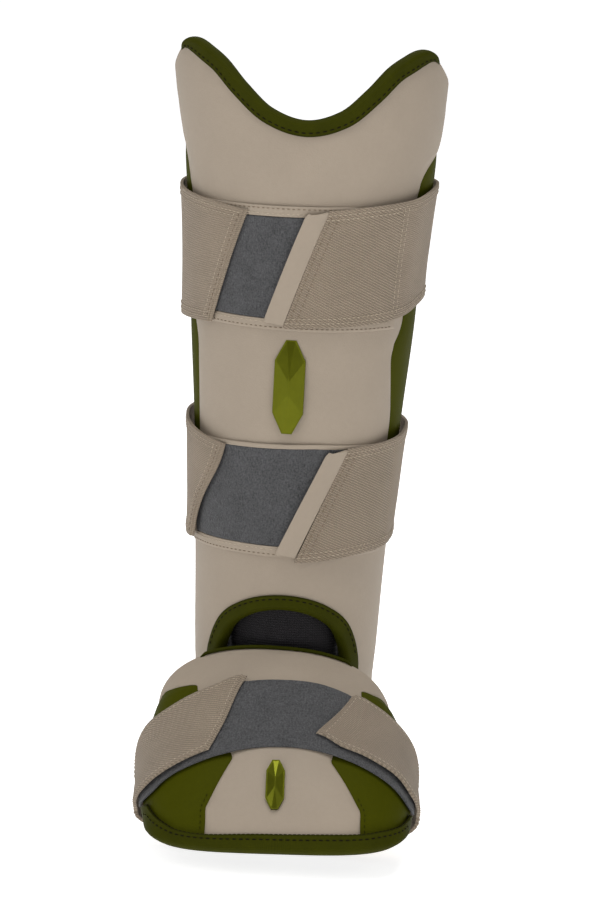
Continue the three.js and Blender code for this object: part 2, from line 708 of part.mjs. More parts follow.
// A plain faceted badge on a surface: a long bar with blunt ends and a ridge along its middle.
function badge(name, { width, ends, length, rim, ridge }, pointAt) {
  const shoulders = [
    { share: -0.5, half: ends / 2, crest: rim },
    { share: -BADGE_SHOULDER, half: width / 2, crest: ridge },
    { share: 0, half: width / 2, crest: ridge },
    { share: BADGE_SHOULDER, half: width / 2, crest: ridge },
    { share: 0.5, half: ends / 2, crest: rim },
  ];
  const column = (side, lift) =>
    shoulders.map((row) => pointAt(side * row.half, row.share * length, lift ?? (side ? rim : row.crest)));
  const columns = [-1, 0, 1];
  const crown = columns.map((side) => column(side));
  const base = columns.map((side) => column(side, GAP));
  return wall(name, glossOlive, crown, base);
}

function shinBadge() {
  const { centre, height } = SHIN_BADGE;
  return badge("shin_badge", SHIN_BADGE, (across, up, lift) =>
    shinPoint({ angle: centre + shinDegrees(across, height), height: height + up }, lift),
  );
}

function toeBadge() {
  return badge("toe_badge", TOE_BADGE, (across, up, lift) => {
    const along = TOE_BADGE.along - up / FOOT_LENGTH;
    return footPoint({ angle: footAngle(across, along), along }, lift);
  });
}

const shin = new THREE.Group().add(
  shinShell(),
  shinSide("shin_side_left", -1),
  shinSide("shin_side_right", 1),
  shinBinding("rim_binding", RIM, RIM_BINDING_END, 1),
  shinBinding("arch_binding", ARCH, ARCH_END, -1),
  shinLoop("upper_loop_panel", UPPER_LOOP),
  loopTrim("upper_loop_trim", UPPER_LOOP),
  calfStrap("upper_strap", UPPER_STRAP),
  pullTab("upper_pull_tab", UPPER_STRAP),
  shinLoop("lower_loop_panel", LOWER_LOOP),
  loopTrim("lower_loop_trim", LOWER_LOOP),
  calfStrap("lower_strap", LOWER_STRAP),
  pullTab("lower_pull_tab", LOWER_STRAP),
  shinBadge(),
);

const collarAngles = steps(-COLLAR_BINDING.reach, COLLAR_BINDING.reach, COLLAR_COLUMNS);
const toeCentre = steps(-1, 1, FOOT_PANEL_COLUMNS).map((share) => share * footSeamAngle(share, 1));
const toeAngles = [...footPanelAngles(-1, 1).reverse(), ...toeCentre, ...footPanelAngles(1, 1)].filter(
  (angle) => Math.abs(angle) < TOE_BINDING.reach,
);

const foot = new THREE.Group().add(
  footShell(),
  footSide("foot_side_left", -1),
  footSide("foot_side_right", 1),
  footBinding("collar_binding", 0, COLLAR_BINDING, collarAngles),
  footBinding("toe_binding", 1, TOE_BINDING, toeAngles),
  footLoop(),
  footStrap(),
  toeBadge(),
);

const legGuard = new THREE.Group().add(shin, foot, ankleGusset());

export default legGuard;
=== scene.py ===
import math
from collections import Counter
from functools import lru_cache

import bpy
from mathutils import Matrix, Vector, noise


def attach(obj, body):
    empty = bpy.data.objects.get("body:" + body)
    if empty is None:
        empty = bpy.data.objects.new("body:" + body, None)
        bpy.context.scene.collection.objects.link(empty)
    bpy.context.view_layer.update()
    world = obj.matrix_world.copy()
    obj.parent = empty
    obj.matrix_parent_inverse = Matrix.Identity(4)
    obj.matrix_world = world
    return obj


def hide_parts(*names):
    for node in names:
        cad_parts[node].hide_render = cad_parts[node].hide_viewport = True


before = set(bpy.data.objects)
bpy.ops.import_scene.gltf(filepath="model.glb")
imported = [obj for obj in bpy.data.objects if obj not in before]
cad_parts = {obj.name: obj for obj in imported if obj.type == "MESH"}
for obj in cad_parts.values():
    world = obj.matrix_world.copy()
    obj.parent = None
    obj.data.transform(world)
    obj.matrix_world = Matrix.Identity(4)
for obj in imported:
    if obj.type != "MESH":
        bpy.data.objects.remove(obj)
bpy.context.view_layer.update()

# Sizes are written in millimetres, as they are measured on the guard.
# They become metres where a point is made.
MM = 0.001

# Thicknesses
SHIN_PAD = 8
FOOT_PAD = 6
EDGE_PAD = 4
PAD_TAPER = 25
LOOP_PILE = 1.4
TRIM_TAPE = 1.1
BINDING_TAPE = 1.1
STRAP_WEB = 1.7
TAB_SKIN = 1.7
GUSSET_MESH = 1.2

# Clearances: between neighbours, under a folded tape, under a strap, and inside the tapes for the mesh
GAP = 0.3
BINDING_GAP = 0.5
STRAP_LIFT = 2.3
GUSSET_GAP = 0.1

LEAST_FLAT_WIDTH = 10.2

# Folded tapes lie flatter than a round fold, are this many radii long over it, and sink in at their ends
FOLD_FLATNESS = 0.5
FOLD_LENGTH = 2.2
TAPE_END = 8
TAPE_SINK = 2.1

# How the padded panels are sewn: a rolled edge at each seam, a crown that rises away from it, how far a
# side panel is tucked under its neighbour, and how far into its roll the tucked edge starts
SEAM_ROLL = 2.4
CROWN = 0.7
CROWN_REACH = 15
SEAM_TUCK = 1.2
TUCKED_ROLL = 1.2

# Where each panel's face lies over the plain face of the guard
SHIN_FACE = 0.1
SHIN_SIDE_FACE = -0.65
FOOT_FACE = 0.05
FOOT_SIDE_FACE = -0.6

# The padding is this far into its taper at the shin guard's back edges
BACK_TAPER_START = 4

# How a padded panel's skin swells over its foam: pressure, stiffness of the skin, frames, most movement
SWELL_PRESSURE = 60
SWELL_STIFFNESS = 2
SWELL_FRAMES = 20
SWELL_MOST = 0.45


def table(columns, *rows):
    """Rows of measurements under named columns."""
    names = columns.split()
    return [dict(zip(names, row)) for row in rows]


# Sections of the shin from the ankle up
SHIN_SECTIONS = table(
    "height half front back shift",
    (-20, 44.2, 49, 42, 0),
    (0, 44.8, 49.5, 43, 0),
    (50, 46.9, 50.5, 46, 0),
    (90, 49.3, 52.5, 50, 0),
    (130, 52.2, 55, 54, 0),
    (170, 55.5, 57.5, 57, 0),
    (207, 57.6, 60, 59, -0.2),
    (258, 62.9, 63, 60, -0.4),
    (290, 66.8, 64.5, 60, -1.8),
    (315, 67.4, 65, 60, -2.8),
)
SHELL_REACH = 98

# The scooped rim and the ankle arch, each from the front line to the side
RIM = table(
    "angle height binding",
    (0, 275, 5.4),
    (16, 280.1, 5.4),
    (28, 291, 5.4),
    (38, 301.2, 5.4),
    (48, 306.8, 5.4),
    (55, 308.9, 4.6),
    (61, 308.2, 2.8),
    (67, 305, 1.2),
    (76, 298.8, 1),
    (86, 292.5, 1),
    (98, 282, 1),
)
ARCH = table(
    "angle height binding",
    (0, 37, 5.6),
    (14, 35.4, 5.6),
    (26, 31.2, 5.6),
    (36, 25, 5.6),
    (43, 16, 5.6),
    (48, 5, 5.6),
    (52, -5, 5.6),
    (57, -9, 5.6),
    (98, -8, 5.6),
)
RIM_BINDING_END = 71
ARCH_BINDING_END = 54

# Seam between the front panel and the side panels
SIDE_SEAM = table(
    "height left right",
    (92, 98, 98),
    (97, 86, 84),
    (106, 72, 67),
    (130, 71, 66.5),
    (163, 69, 57.5),
    (176, 75, 66.5),
    (205, 73, 65),
    (235, 72, 64),
    (251, 77, 67),
    (258, 88, 82),
    (263, 98, 98),
)
SEAM_COLUMNS_FROM = 56
SIDE_PANEL_LOW = 92.8
SIDE_PANEL_HIGH = 262.2
SIDE_PANEL_LEAST = 0.3
SEAM_EASE = (-4, -2, 0, 2, 4)

# Loop panels of the shin: their lower and upper edges, and the widths of the trims sewn along those edges
UPPER_LOOP = dict(
    trim=(5, 5),
    edges=table("angle low high", (-52, 180, 228.8), (20, 180.3, 231), (48, 180.5, 228.4)),
)
LOWER_LOOP = dict(
    trim=(5, 1.4),
    edges=table(
        "angle low high",
        (-69, 66, 113.5),
        (-30, 67.1, 115.2),
        (12, 67.2, 116.9),
        (58, 67.4, 115.4),
    ),
)

# Trims: width, crown at the middle and at the stitches, stitch rows as shares of their run and of the width,
# and the width from which a trim is sewn
TRIM_WIDTH = 5
TRIM_CROWN = 0.25
TRIM_ROW_CROWN = 0.2
TRIM_ROW_END = 0.02
TRIM_ROW_INNER = 0.26
TRIM_ROW_OUTER = 0.76
SEWN_TRIM = 3

# Loop pile: how high its panels sit, the size and rise of its tufts and of its broad waves, how far it
# settles, and how quickly it rises in from a panel's edges
SHIN_LOOP_LIFT = 0.35
FOOT_LOOP_LIFT = 0.3
TUFT_SIZE = 1.6
TUFT_RISE = 0.22
WAVE_SIZE = 9
WAVE_RISE = 0.12
PILE_SETTLE = 0.1
PILE_ALLOWANCE = 0.2
SHIN_PILE_FADE = 25
FOOT_PILE_FADE = 20

# Calf straps. turn runs from the front line by the right side and the back to the left.
# seam is the turn where the twill ends, bend curves the left-hand end, and peel lifts its lower corner.
UPPER_STRAP = dict(
    start=(-7, 11.2),
    end=(314, 335),
    seam=49,
    seam_sewn=True,
    bend=0,
    peel=0.5,
    path=table(
        "turn low high lift flare",
        (-20, 176, 233, STRAP_LIFT, 0),
        (11, 177.2, 234.5, STRAP_LIFT, 0),
        (30, 178.5, 236.6, STRAP_LIFT, 0),
        (54, 181.3, 239, 2.4, 0.7),
        (72, 185, 241.6, 1.2, 0.1),
        (90, 187, 243, 1.3, -0.8),
        (135, 183, 241.5, 0.8, 0.2),
        (180, 178, 239, 0.8, 0.2),
        (225, 174, 238, 1, 0.4),
        (270, 172.3, 237, 2.6, -1.6),
        (290, 173, 236, 2.6, -0.6),
        (314, 174.4, 234.2, STRAP_LIFT, 0),
        (340, 175.5, 231.8, STRAP_LIFT, 0),
    ),
)
LOWER_STRAP = dict(
    start=(4.5, 29.7),
    end=(296, 323),
    seam=66,
    seam_sewn=False,
    bend=1.9,
    peel=1.6,
    path=table(
        "turn low high lift flare",
        (4, 59.7, 115.6, STRAP_LIFT, 0),
        (22, 61.2, 116.6, STRAP_LIFT, 0),
        (42, 63.3, 117.9, STRAP_LIFT, 0),
        (64, 65, 119.6, 2.4, 0.3),
        (78, 66, 121.2, 1.2, 0.8),
        (90, 66.5, 122, 0.9, 0.6),
        (135, 66, 123, 0.8, 2.2),
        (180, 65, 123.5, 1.2, 1.6),
        (225, 65, 124, 1, 1.8),
        (270, 64, 122.5, 2.6, -0.8),
        (290, 63.5, 120.2, 2.8, 0),
        (305, 64, 117.7, STRAP_LIFT, 0.8),
        (325, 66, 114.6, STRAP_LIFT, 0.3),
    ),
)
PEEL_FROM = 0.9

# A strap's columns are closer over this length at each end, which takes this share of them
CLOSE_COLUMNS_OVER = 6
CLOSE_COLUMNS_SHARE = 0.06

# Strap hems, and the thinner underlay that shows past a strap's end
HEM_WIDTH = 5
HEM_FOLD = 0.18
HEM_STEP = 0.9
UNDERLAY = 1.7
UNDERLAY_SHARE = 0.5
UNDERLAY_STEP = 0.35

# Slight ripples of the calf straps: their height, how many along and across, and a layer of the noise
RIPPLE = 0.12
RIPPLES_ALONG = 26
RIPPLES_ACROSS = 3
RIPPLE_LAYER = 1.7

# Stitch rows of the calf straps: distances from the hems, the right-hand end, the left-hand end and the seam.
# A distance below 0 is measured back from the upper hem or the left-hand end.
HEM_ROWS = (2.2, -2.2, 4.4, -4.4)
RIGHT_END_ROWS = (2.2, 5.6)
LEFT_END_ROW = -3.2
LEFT_END_PALE_ROW = -5.6
SEAM_ROWS = (-1.3, 1.3)
HEM_ROW_END = 2.4
CROSS_ROW_MARGIN = 0.04

# Weave of the elastic: slope of its twill against the strap, and pitch
CALF_WEAVE = dict(slant=0.45, pitch_mm=1.05)
FOOT_WEAVE = dict(slant=0.28, pitch_mm=0.8)

# Pull tabs: widths, distance from the strap's hems, corners, slope of the ends, lift and crown
TAB_WIDTH = 9
TAB_FLAT_WIDTH = 8.5
TAB_INSET = 0.5
TAB_CORNER = 1.6
TAB_INNER_CORNER = 0.2
TAB_SLOPE = 1.1
TAB_LIFT = 0.3
TAB_CROWN = 0.45
TAB_FULLNESS = 0.6

# Ribs of the foot shell from its collar to its toe edge
FOOT_RIBS = table(
    "along apex_y apex_z side_y side_z half round shift tilt",
    (0, -47, 14.5, -40, -24, 57.5, 2.4, -2.4, 0),
    (0.25, -70, 3, -52, -43, 65, 2.6, 0.6, 0.5),
    (0.5, -94, -13, -66, -54, 65.5, 2.5, 2, 1.2),
    (0.75, -117, -33, -80, -58, 65.5, 2.8, 3, 2),
    (1, -133, -62, -90, -58.3, 63, 3.4, 4.2, 2),
)
FOOT_LENGTH = 118

# Seam between the foot's top and its side panels
FOOT_SEAM = table(
    "along left right",
    (0.022, 88.5, 88.5),
    (0.04, 75, 77),
    (0.063, 67.5, 67),
    (0.093, 62, 58),
    (0.131, 54.6, 49.5),
    (0.147, 50.5, 46.4),
    (0.163, 46.3, 39.5),
    (0.174, 43.6, 36.1),
    (0.204, 34, 35.2),
    (0.25, 33.2, 34.2),
    (0.645, 13.5, 17.9),
    (0.858, 21.9, 31),
    (1, 20.6, 30.6),
)

# Where the foot's side panels start, the last angle of their tucked edge, where the seam leaves the collar,
# how much less it rolls there, and how far its corners are eased
FOOT_PANEL_START = 0.022
FOOT_TUCK_LAST = 89.6
COLLAR_SEAM_END = 0.05
COLLAR_SEAM_LIFT = 1
FOOT_SEAM_EASE = (-0.008, 0, 0.008)

# Loop panel and strap of the foot: their rear and front edges round the foot
FOOT_LOOP_REACH = 86
FOOT_LOOP = table(
    "angle rear front",
    (-86, 0.36, 0.82),
    (-62, 0.35, 0.785),
    (-45, 0.33, 0.718),
    (-30, 0.3, 0.674),
    (-19, 0.276, 0.643),
    (-6, 0.25, 0.612),
    (2, 0.239, 0.602),
    (12, 0.244, 0.613),
    (22, 0.267, 0.634),
    (37, 0.312, 0.674),
    (53, 0.335, 0.726),
    (72, 0.35, 0.805),
    (86, 0.36, 0.83),
)
FOOT_STRAP = table(
    "angle rear front",
    (-90, 0.3, 0.79),
    (-67, 0.318, 0.765),
    (-48, 0.331, 0.708),
    (-34, 0.312, 0.66),
    (-22, 0.283, 0.62),
    (-10, 0.235, 0.6),
    (11, 0.28, 0.535),
    (22, 0.29, 0.59),
    (31, 0.287, 0.613),
    (38, 0.3, 0.634),
    (53, 0.32, 0.678),
    (67, 0.325, 0.745),
    (90, 0.31, 0.8),
)

# Foot strap: angles of its left and right ends at its rear and front edges, height and roundness of its run
# under the sole, width, share of its length on each side, stand-off of its front edge, and stitch rows
FOOT_STRAP_LEFT = (-8.8, -23)
FOOT_STRAP_RIGHT = (26, 11.4)
SOLE = -70
SOLE_ROUND = 0.7
FOOT_STRAP_WIDTH = 40
FOOT_STRAP_SIDE = 0.28
FOOT_STRAP_FLARE = 1.3
FOOT_STRAP_HEM_ROW = 0.05
FOOT_STRAP_HEM_ROW_END = 0.012
FOOT_STRAP_END_ROW = 0.01

# Soft ridge across the toe: its height, place and width along the foot, and where it fades out at the sides
TOE_RIDGE = 0.8
TOE_RIDGE_AT = 0.87
TOE_RIDGE_WIDTH = 0.035
TOE_RIDGE_END = 75
TOE_RIDGE_FADE = 40

# Stitch row beside the seam of a toe panel
TOE_ROW_FROM = 0.8
TOE_ROW_TO = 0.945
TOE_ROW_INSET = 1.6
TOE_ROW_SINK = 0.9

# Tapes of the foot: how many degrees their sunk ends take, the power that spaces their columns, how far they
# turn back inside and reach round, their visible widths, the stitch row of the toe's tape, and a close dark
# row past its hem that is painted shade
FOOT_TAPE_END = 6
FOOT_TAPE_SPREAD = 1.35
TOE_BACK = 6
TOE_REACH = 88
TOE_TAPE = table(
    "angle width",
    (-88, 18.5),
    (-72, 18.5),
    (-66, 17.6),
    (-62, 14.4),
    (-55, 10.5),
    (-46, 7.5),
    (-37, 5.4),
    (-21, 4.6),
    (4, 5.9),
    (32, 6.1),
    (43, 6.8),
    (53, 7.5),
    (65, 9.1),
    (74, 12.6),
    (79, 16.8),
    (88, 18.5),
)
TOE_TAPE_ROW = dict(inset=0.6, end=0.06, height=BINDING_GAP + BINDING_TAPE)
# The hem row is painted shade: close dark stitches just past the tape's hem stand in for the seam's shadow.
TOE_HEM_SHADE_ROW = dict(inset=1.03, end=0.025, height=0.3)
COLLAR_BACK = 5
COLLAR_REACH = 38
COLLAR_TAPE = table("angle width", (-90, 1.2), (90, 1.2))

# Mesh gusset: rows inside the shin shell, then rows under the foot's collar
GUSSET_SHIN = table(
    "height reach inset",
    (50, 56, 0.3),
    (38, 57, 0.3),
    (27, 57, 1),
    (16, 60, 2),
    (4, 62, 4.5),
)
GUSSET_FOOT = table("along reach inset", (0.06, 31, -0.3), (0.13, 31, -1.2))

# Badges: width at the middle and at the ends, length, height of the rim and of the ridge. Then their places,
# their seat over the panel, how far they sink in, where the ends start to narrow, and the shape of the rim
SHIN_BADGE = dict(width=15, ends=5, length=46, rim=1.4, ridge=4.4)
TOE_BADGE = dict(width=9, ends=3.5, length=25, rim=1.2, ridge=3.2)
SHIN_BADGE_ANGLE = -3
SHIN_BADGE_HEIGHT = 147
TOE_BADGE_ALONG = 0.77
BADGE_SEAT = 0.4
BADGE_SINK = 0.6
BADGE_SHOULDER = 0.28
BADGE_RIM_WIDTH = 0.7
BADGE_RIDGE_SHARES = (0.03, 0.25, 1)

# Stitches of each kind of row: pitch, length and thickness of the thread
STITCHES = dict(
    shin_tape=(3.4, 2.2, 0.6),
    toe_tape=(3.2, 2.1, 0.6),
    # The toe hem row's stitches nearly touch and draw a dark line, which is painted shade in the seam at the
    # toe tape's hem.
    toe_hem_shade=(2.2, 2.1, 0.6),
    toe_panel=(2.6, 1.6, 0.35),
    trim_inner=(2.5, 1.6, 0.45),
    trim_outer=(2.5, 1.5, 0.45),
    strap_hem=(2.5, 1.7, 0.4),
    strap_end=(2.7, 1.6, 0.4),
    foot_strap=(2.3, 1.5, 0.4),
)

# The stitch row of a shin tape as a share of its width, how high stitches sit, and the steps along a row
SHIN_TAPE_ROW = 0.66
STITCH_SEAT = 0.12
RUN_STEPS = 300


def mix(a, b, share):
    return a + (b - a) * share


def limit(value, low, high):
    return max(low, min(high, value))


def ease(value):
    value = limit(value, 0, 1)
    return value * value * (3 - 2 * value)


def slope(rows, i, key, name):
    before = rows[max(0, i - 1)]
    after = rows[min(len(rows) - 1, i + 1)]
    return (after[name] - before[name]) / (after[key] - before[key])


def between(rows, at, smooth=True):
    """The row of a table at a value of its first column, on a curve through its rows or straight."""
    key = next(iter(rows[0]))
    last = len(rows) - 1
    at = limit(at, rows[0][key], rows[last][key])
    i = next(n for n in range(last) if rows[n + 1][key] >= at)
    a, b = rows[i], rows[i + 1]
    span = b[key] - a[key]
    t = (at - a[key]) / span
    found = {}
    for name in a:
        step = b[name] - a[name]
        found[name] = a[name] + step * t
        if smooth:
            found[name] += t * (1 - t) ** 2 * (slope(rows, i, key, name) * span - step)
            found[name] += t * t * (1 - t) * (step - slope(rows, i + 1, key, name) * span)
    return found


def both_sides(rows):
    mirrored = [dict(row, angle=-row["angle"]) for row in rows[1:]]
    return mirrored[::-1] + rows


RIM_EDGE = both_sides(RIM)
ARCH_EDGE = both_sides(ARCH)


@lru_cache(maxsize=None)
def shin_section(height):
    return between(SHIN_SECTIONS, height)


@lru_cache(maxsize=None)
def rim_at(angle):
    return between(RIM_EDGE, angle)


@lru_cache(maxsize=None)
def arch_at(angle):
    return between(ARCH_EDGE, angle)


def shin(angle, height, lift):
    """A point over the shin shell's outer face, carried on round the calf."""
    section = shin_section(height)
    turn = math.radians(angle)
    sin, cos = math.sin(turn), math.cos(turn)
    depth = section["front"] if cos > 0 else section["back"]
    normal = Vector((sin / section["half"], -cos / depth)).normalized()
    x = section["shift"] + section["half"] * sin + normal.x * lift
    y = -depth * cos + normal.y * lift
    return Vector((x, y, height)) * MM


def shin_degrees(length, height):
    section = shin_section(height)
    return math.degrees(length / ((section["half"] + section["front"]) / 2))


@lru_cache(maxsize=None)
def seam_angle(side, height):
    """Where the front panel ends on one side, with the seam's corners eased."""
    name = "left" if side < 0 else "right"
    near = [between(SIDE_SEAM, height + off, False)[name] for off in SEAM_EASE]
    return sum(near) / len(near)


def padding(full, distance):
    return mix(EDGE_PAD, full, limit(distance / PAD_TAPER, 0, 1))


def roll(distance):
    """How far a padded panel falls towards its seam: a rolled edge under a soft crown."""
    fall = CROWN * (ease(distance / CROWN_REACH) - 1)
    if distance < SEAM_ROLL:
        reach = SEAM_ROLL - max(distance, 0)
        fall -= SEAM_ROLL - math.sqrt(SEAM_ROLL**2 - reach**2)
    return fall


@lru_cache(maxsize=None)
def foot_rib(along):
    return between(FOOT_RIBS, along)


def foot_face(angle, along):
    rib = foot_rib(along)
    turn = math.radians(angle)
    power = 2 / rib["round"]
    rise = max(0, math.cos(turn)) ** power
    x = rib["half"] * math.copysign(abs(math.sin(turn)) ** power, turn)
    z = mix(rib["side_z"], rib["apex_z"], rise) + x * math.tan(math.radians(rib["tilt"]))
    return Vector((rib["shift"] + x, mix(rib["side_y"], rib["apex_y"], rise), z))


def foot_angle(x, along):
    rib = foot_rib(along)
    return math.degrees(math.copysign(math.asin((abs(x) / rib["half"]) ** (rib["round"] / 2)), x))


def foot_frame(angle, along):
    """Directions on the foot shell: down towards the toe edge, and straight out."""
    angle = limit(angle, -88, 88)
    along = round(limit(along, 0.01, 0.99), 5)
    across = foot_face(angle + 1, along) - foot_face(angle - 1, along)
    down = (foot_face(angle, along + 0.01) - foot_face(angle, along - 0.01)).normalized()
    return down, down.cross(across).normalized()


def foot(angle, along, lift):
    """A point over the foot shell's outer face."""
    out = foot_frame(angle, along)[1]
    return (foot_face(angle, along) + out * lift) * MM


def foot_padding(along):
    return padding(FOOT_PAD, FOOT_LENGTH * min(along, 1 - along))


@lru_cache(maxsize=None)
def foot_seam(side, along):
    name = "left" if side < 0 else "right"
    near = [between(FOOT_SEAM, along + off, False)[name] for off in FOOT_SEAM_EASE]
    return sum(near) / len(near)


# Making pieces

# Flat size and area of each piece as it was cut
FLAT_CUTS = {}


def path_length(points):
    return sum((b - a).length for a, b in zip(points, points[1:]))


def pick(piece):
    """Makes a piece the only one selected."""
    bpy.ops.object.select_all(action="DESELECT")
    bpy.context.view_layer.objects.active = piece
    piece.select_set(True)


def cut(name, columns, rows, place, finishes, spread=None):
    """A grid laid where place puts each share of its length and width, with its flat size as its UV map."""
    bpy.ops.object.select_all(action="DESELECT")
    bpy.ops.mesh.primitive_grid_add(x_subdivisions=columns, y_subdivisions=rows, size=2, calc_uvs=True)
    piece = bpy.context.object
    piece.name = name
    piece.data.name = name
    for finish in finishes:
        piece.data.materials.append(finish)
    spread = spread or (lambda share: share)
    for vertex in piece.data.vertices:
        vertex.co = place(spread(round(vertex.co.x / 2 + 0.5, 6)), round(vertex.co.y / 2 + 0.5, 6))
    area = sum(face.area for face in piece.data.polygons)
    length = path_length([place(i / 80, 0.5) for i in range(81)])
    width = max(area / length, path_length([place(0.5, i / 40) for i in range(41)]))
    for corner in piece.data.uv_layers[0].data:
        corner.uv = (spread(corner.uv[0]) * length, corner.uv[1] * width)
    FLAT_CUTS[name] = dict(flat=(max(LEAST_FLAT_WIDTH * MM, width), length), area=area)
    return piece


def apply(piece, kind, **settings):
    """Adds a modifier with its settings and applies it."""
    pick(piece)
    modifier = piece.modifiers.new(kind.lower(), kind)
    for name, value in settings.items():
        setattr(modifier, name, value)
    bpy.ops.object.modifier_apply(modifier=modifier.name)


def smooth(piece, angle=50):
    pick(piece)
    bpy.ops.object.shade_smooth_by_angle(angle=math.radians(angle))


def weigh(piece, shares):
    """Keeps a share for each point of a piece, for a modifier to read."""
    group = piece.vertex_groups.new(name="share")
    for vertex, share in zip(piece.data.vertices, shares):
        group.add([vertex.index], share, "REPLACE")
    return group.name


def round_off(piece, width, segments, angle):
    apply(
        piece,
        "BEVEL",
        width=width * MM,
        segments=segments,
        limit_method="ANGLE",
        angle_limit=math.radians(angle),
    )
    piece.vertex_groups.clear()


def thicken(piece, depth, round_edge=0.35, shares=None):
    """Gives a sheet its thickness on the outer side, with worn round edges."""
    group = weigh(piece, shares) if shares else ""
    apply(piece, "SOLIDIFY", thickness=depth * MM, offset=1, use_even_offset=False, vertex_group=group)
    round_off(piece, round_edge, 2, 50)
    smooth(piece)


def swell(piece):
    """Lets a panel's skin swell over its foam by cloth simulation, held fast along its sewn edge."""
    scene = bpy.context.scene
    scene.frame_set(1)
    uses = Counter(key for face in piece.data.polygons for key in face.edge_keys)
    sewn = {point for key, count in uses.items() if count == 1 for point in key}
    cloth = piece.modifiers.new("swell", "CLOTH")
    skin = cloth.settings
    holds = [1 if vertex.index in sewn else 0 for vertex in piece.data.vertices]
    skin.vertex_group_mass = weigh(piece, holds)
    skin.quality = 4
    skin.tension_stiffness = SWELL_STIFFNESS
    skin.compression_stiffness = SWELL_STIFFNESS
    skin.shear_stiffness = SWELL_STIFFNESS
    skin.use_pressure = True
    skin.uniform_pressure_force = SWELL_PRESSURE
    skin.effector_weights.gravity = 0
    cloth.point_cache.frame_start = 1
    cloth.point_cache.frame_end = SWELL_FRAMES
    for moment in range(1, SWELL_FRAMES + 1):
        scene.frame_set(moment)
    swollen = piece.evaluated_get(bpy.context.evaluated_depsgraph_get()).data
    steps = [after.co - before.co for before, after in zip(piece.data.vertices, swollen.vertices)]
    piece.modifiers.remove(cloth)
    piece.vertex_groups.clear()
    most = SWELL_MOST * MM
    for vertex, step in zip(piece.data.vertices, steps):
        if step.length > 0:
            vertex.co += step * (most * math.tanh(step.length / most) / step.length)
    scene.frame_set(1)


def stuff(piece, full, depths):
    """Gives a panel its padding and lining on the inner side, as deep as it says at each point."""
    swell(piece)
    apply(
        piece,
        "SOLIDIFY",
        thickness=full * MM,
        offset=-1,
        use_even_offset=False,
        vertex_group=weigh(piece, [depth / full for depth in depths]),
        material_offset=1,
        material_offset_rim=1,
    )
    round_off(piece, 0.8, 3, 55)
    smooth(piece, 60)


def dress(piece, node=None):
    """Puts a finished piece on the guard, in place of its plain solid."""
    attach(piece, "root")
    if node:
        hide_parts(node)
    return piece


# Finishes


class Value:
    """A socket of a finish, so that sums on sockets read as sums."""

    def __init__(self, finish, socket):
        self.finish = finish
        self.socket = socket

    def math(self, operation, *others):
        inputs = dict(enumerate((self, *others)))
        return self.finish.node("ShaderNodeMath", {"operation": operation}, inputs)

    def __add__(self, other):
        return self.math("ADD", other)

    def __sub__(self, other):
        return self.math("SUBTRACT", other)

    def __rsub__(self, other):
        return self.finish.node("ShaderNodeMath", {"operation": "SUBTRACT"}, {0: other, 1: self})

    def __mul__(self, other):
        return self.math("MULTIPLY", other)

    def sine(self):
        return self.math("SINE")

    def over(self, limit):
        return self.math("GREATER_THAN", limit)

    def clamped(self):
        return self.finish.node("ShaderNodeClamp", {}, {"Value": self})


class Finish:
    """A procedural material, with one method that adds any node."""

    def __init__(self, name, **constants):
        self.material = bpy.data.materials.new(name)
        self.material.use_nodes = True
        self.tree = self.material.node_tree
        self.shader = self.tree.nodes["Principled BSDF"]
        for socket, value in constants.items():
            self.shader.inputs[socket.replace("_", " ")].default_value = value

    def feed(self, socket, value):
        if isinstance(value, Value):
            self.tree.links.new(value.socket, socket)
        else:
            socket.default_value = value

    def node(self, kind, settings, inputs, output=0):
        node = self.tree.nodes.new(kind)
        for name, value in settings.items():
            setattr(node, name, value)
        for name, value in inputs.items():
            self.feed(node.inputs[name], value)
        return Value(self, node.outputs[output])

    def place(self):
        return self.node("ShaderNodeTexCoord", {}, {}, "Object")

    def weave_place(self):
        """The distance along and across the cloth, in metres."""
        spread = self.node("ShaderNodeTexCoord", {}, {}, "UV")
        along = self.node("ShaderNodeSeparateXYZ", {}, {0: spread}, "X")
        across = self.node("ShaderNodeSeparateXYZ", {}, {0: spread}, "Y")
        return along, across

    def stretched(self, scale):
        """The place on the piece, with each direction scaled."""
        spread = self.node("ShaderNodeTexCoord", {}, {}, "UV")
        return self.node("ShaderNodeMapping", {}, {"Vector": spread, "Scale": scale})

    def mottle(self, size_mm, detail=3, where=None):
        """Soft cloudy variation, from 0 to 1, of about that size."""
        inputs = {"Vector": where or self.place(), "Scale": 1 / (size_mm * MM), "Detail": detail}
        return self.node("ShaderNodeTexNoise", {}, inputs)

    def cells(self, size_mm):
        inputs = {"Vector": self.place(), "Scale": 1 / (size_mm * MM)}
        return self.node("ShaderNodeTexVoronoi", {}, inputs, "Distance")

    def shade(self, share, low, high):
        """A colour between two, both given as linear red, green and blue."""
        inputs = {0: share, 6: (*low, 1), 7: (*high, 1)}
        return self.node("ShaderNodeMix", {"data_type": "RGBA"}, inputs, 2)

    def done(self, colour, roughness, height, depth_mm):
        """Joins the finish's colour, roughness and relief to its shader."""
        self.feed(self.shader.inputs["Base Color"], colour)
        self.feed(self.shader.inputs["Roughness"], roughness)
        inputs = {"Height": height, "Distance": depth_mm * MM, "Strength": 1.0}
        relief = self.node("ShaderNodeBump", {}, inputs)
        self.feed(self.shader.inputs["Normal"], relief)
        return self.material


def wave(along, pitch_mm):
    """Ridges from 0 to 1 with that pitch."""
    return (along * (2 * math.pi / (pitch_mm * MM))).sine() * 0.5 + 0.5


def tone(colour, gain):
    return tuple(channel * gain for channel in colour)


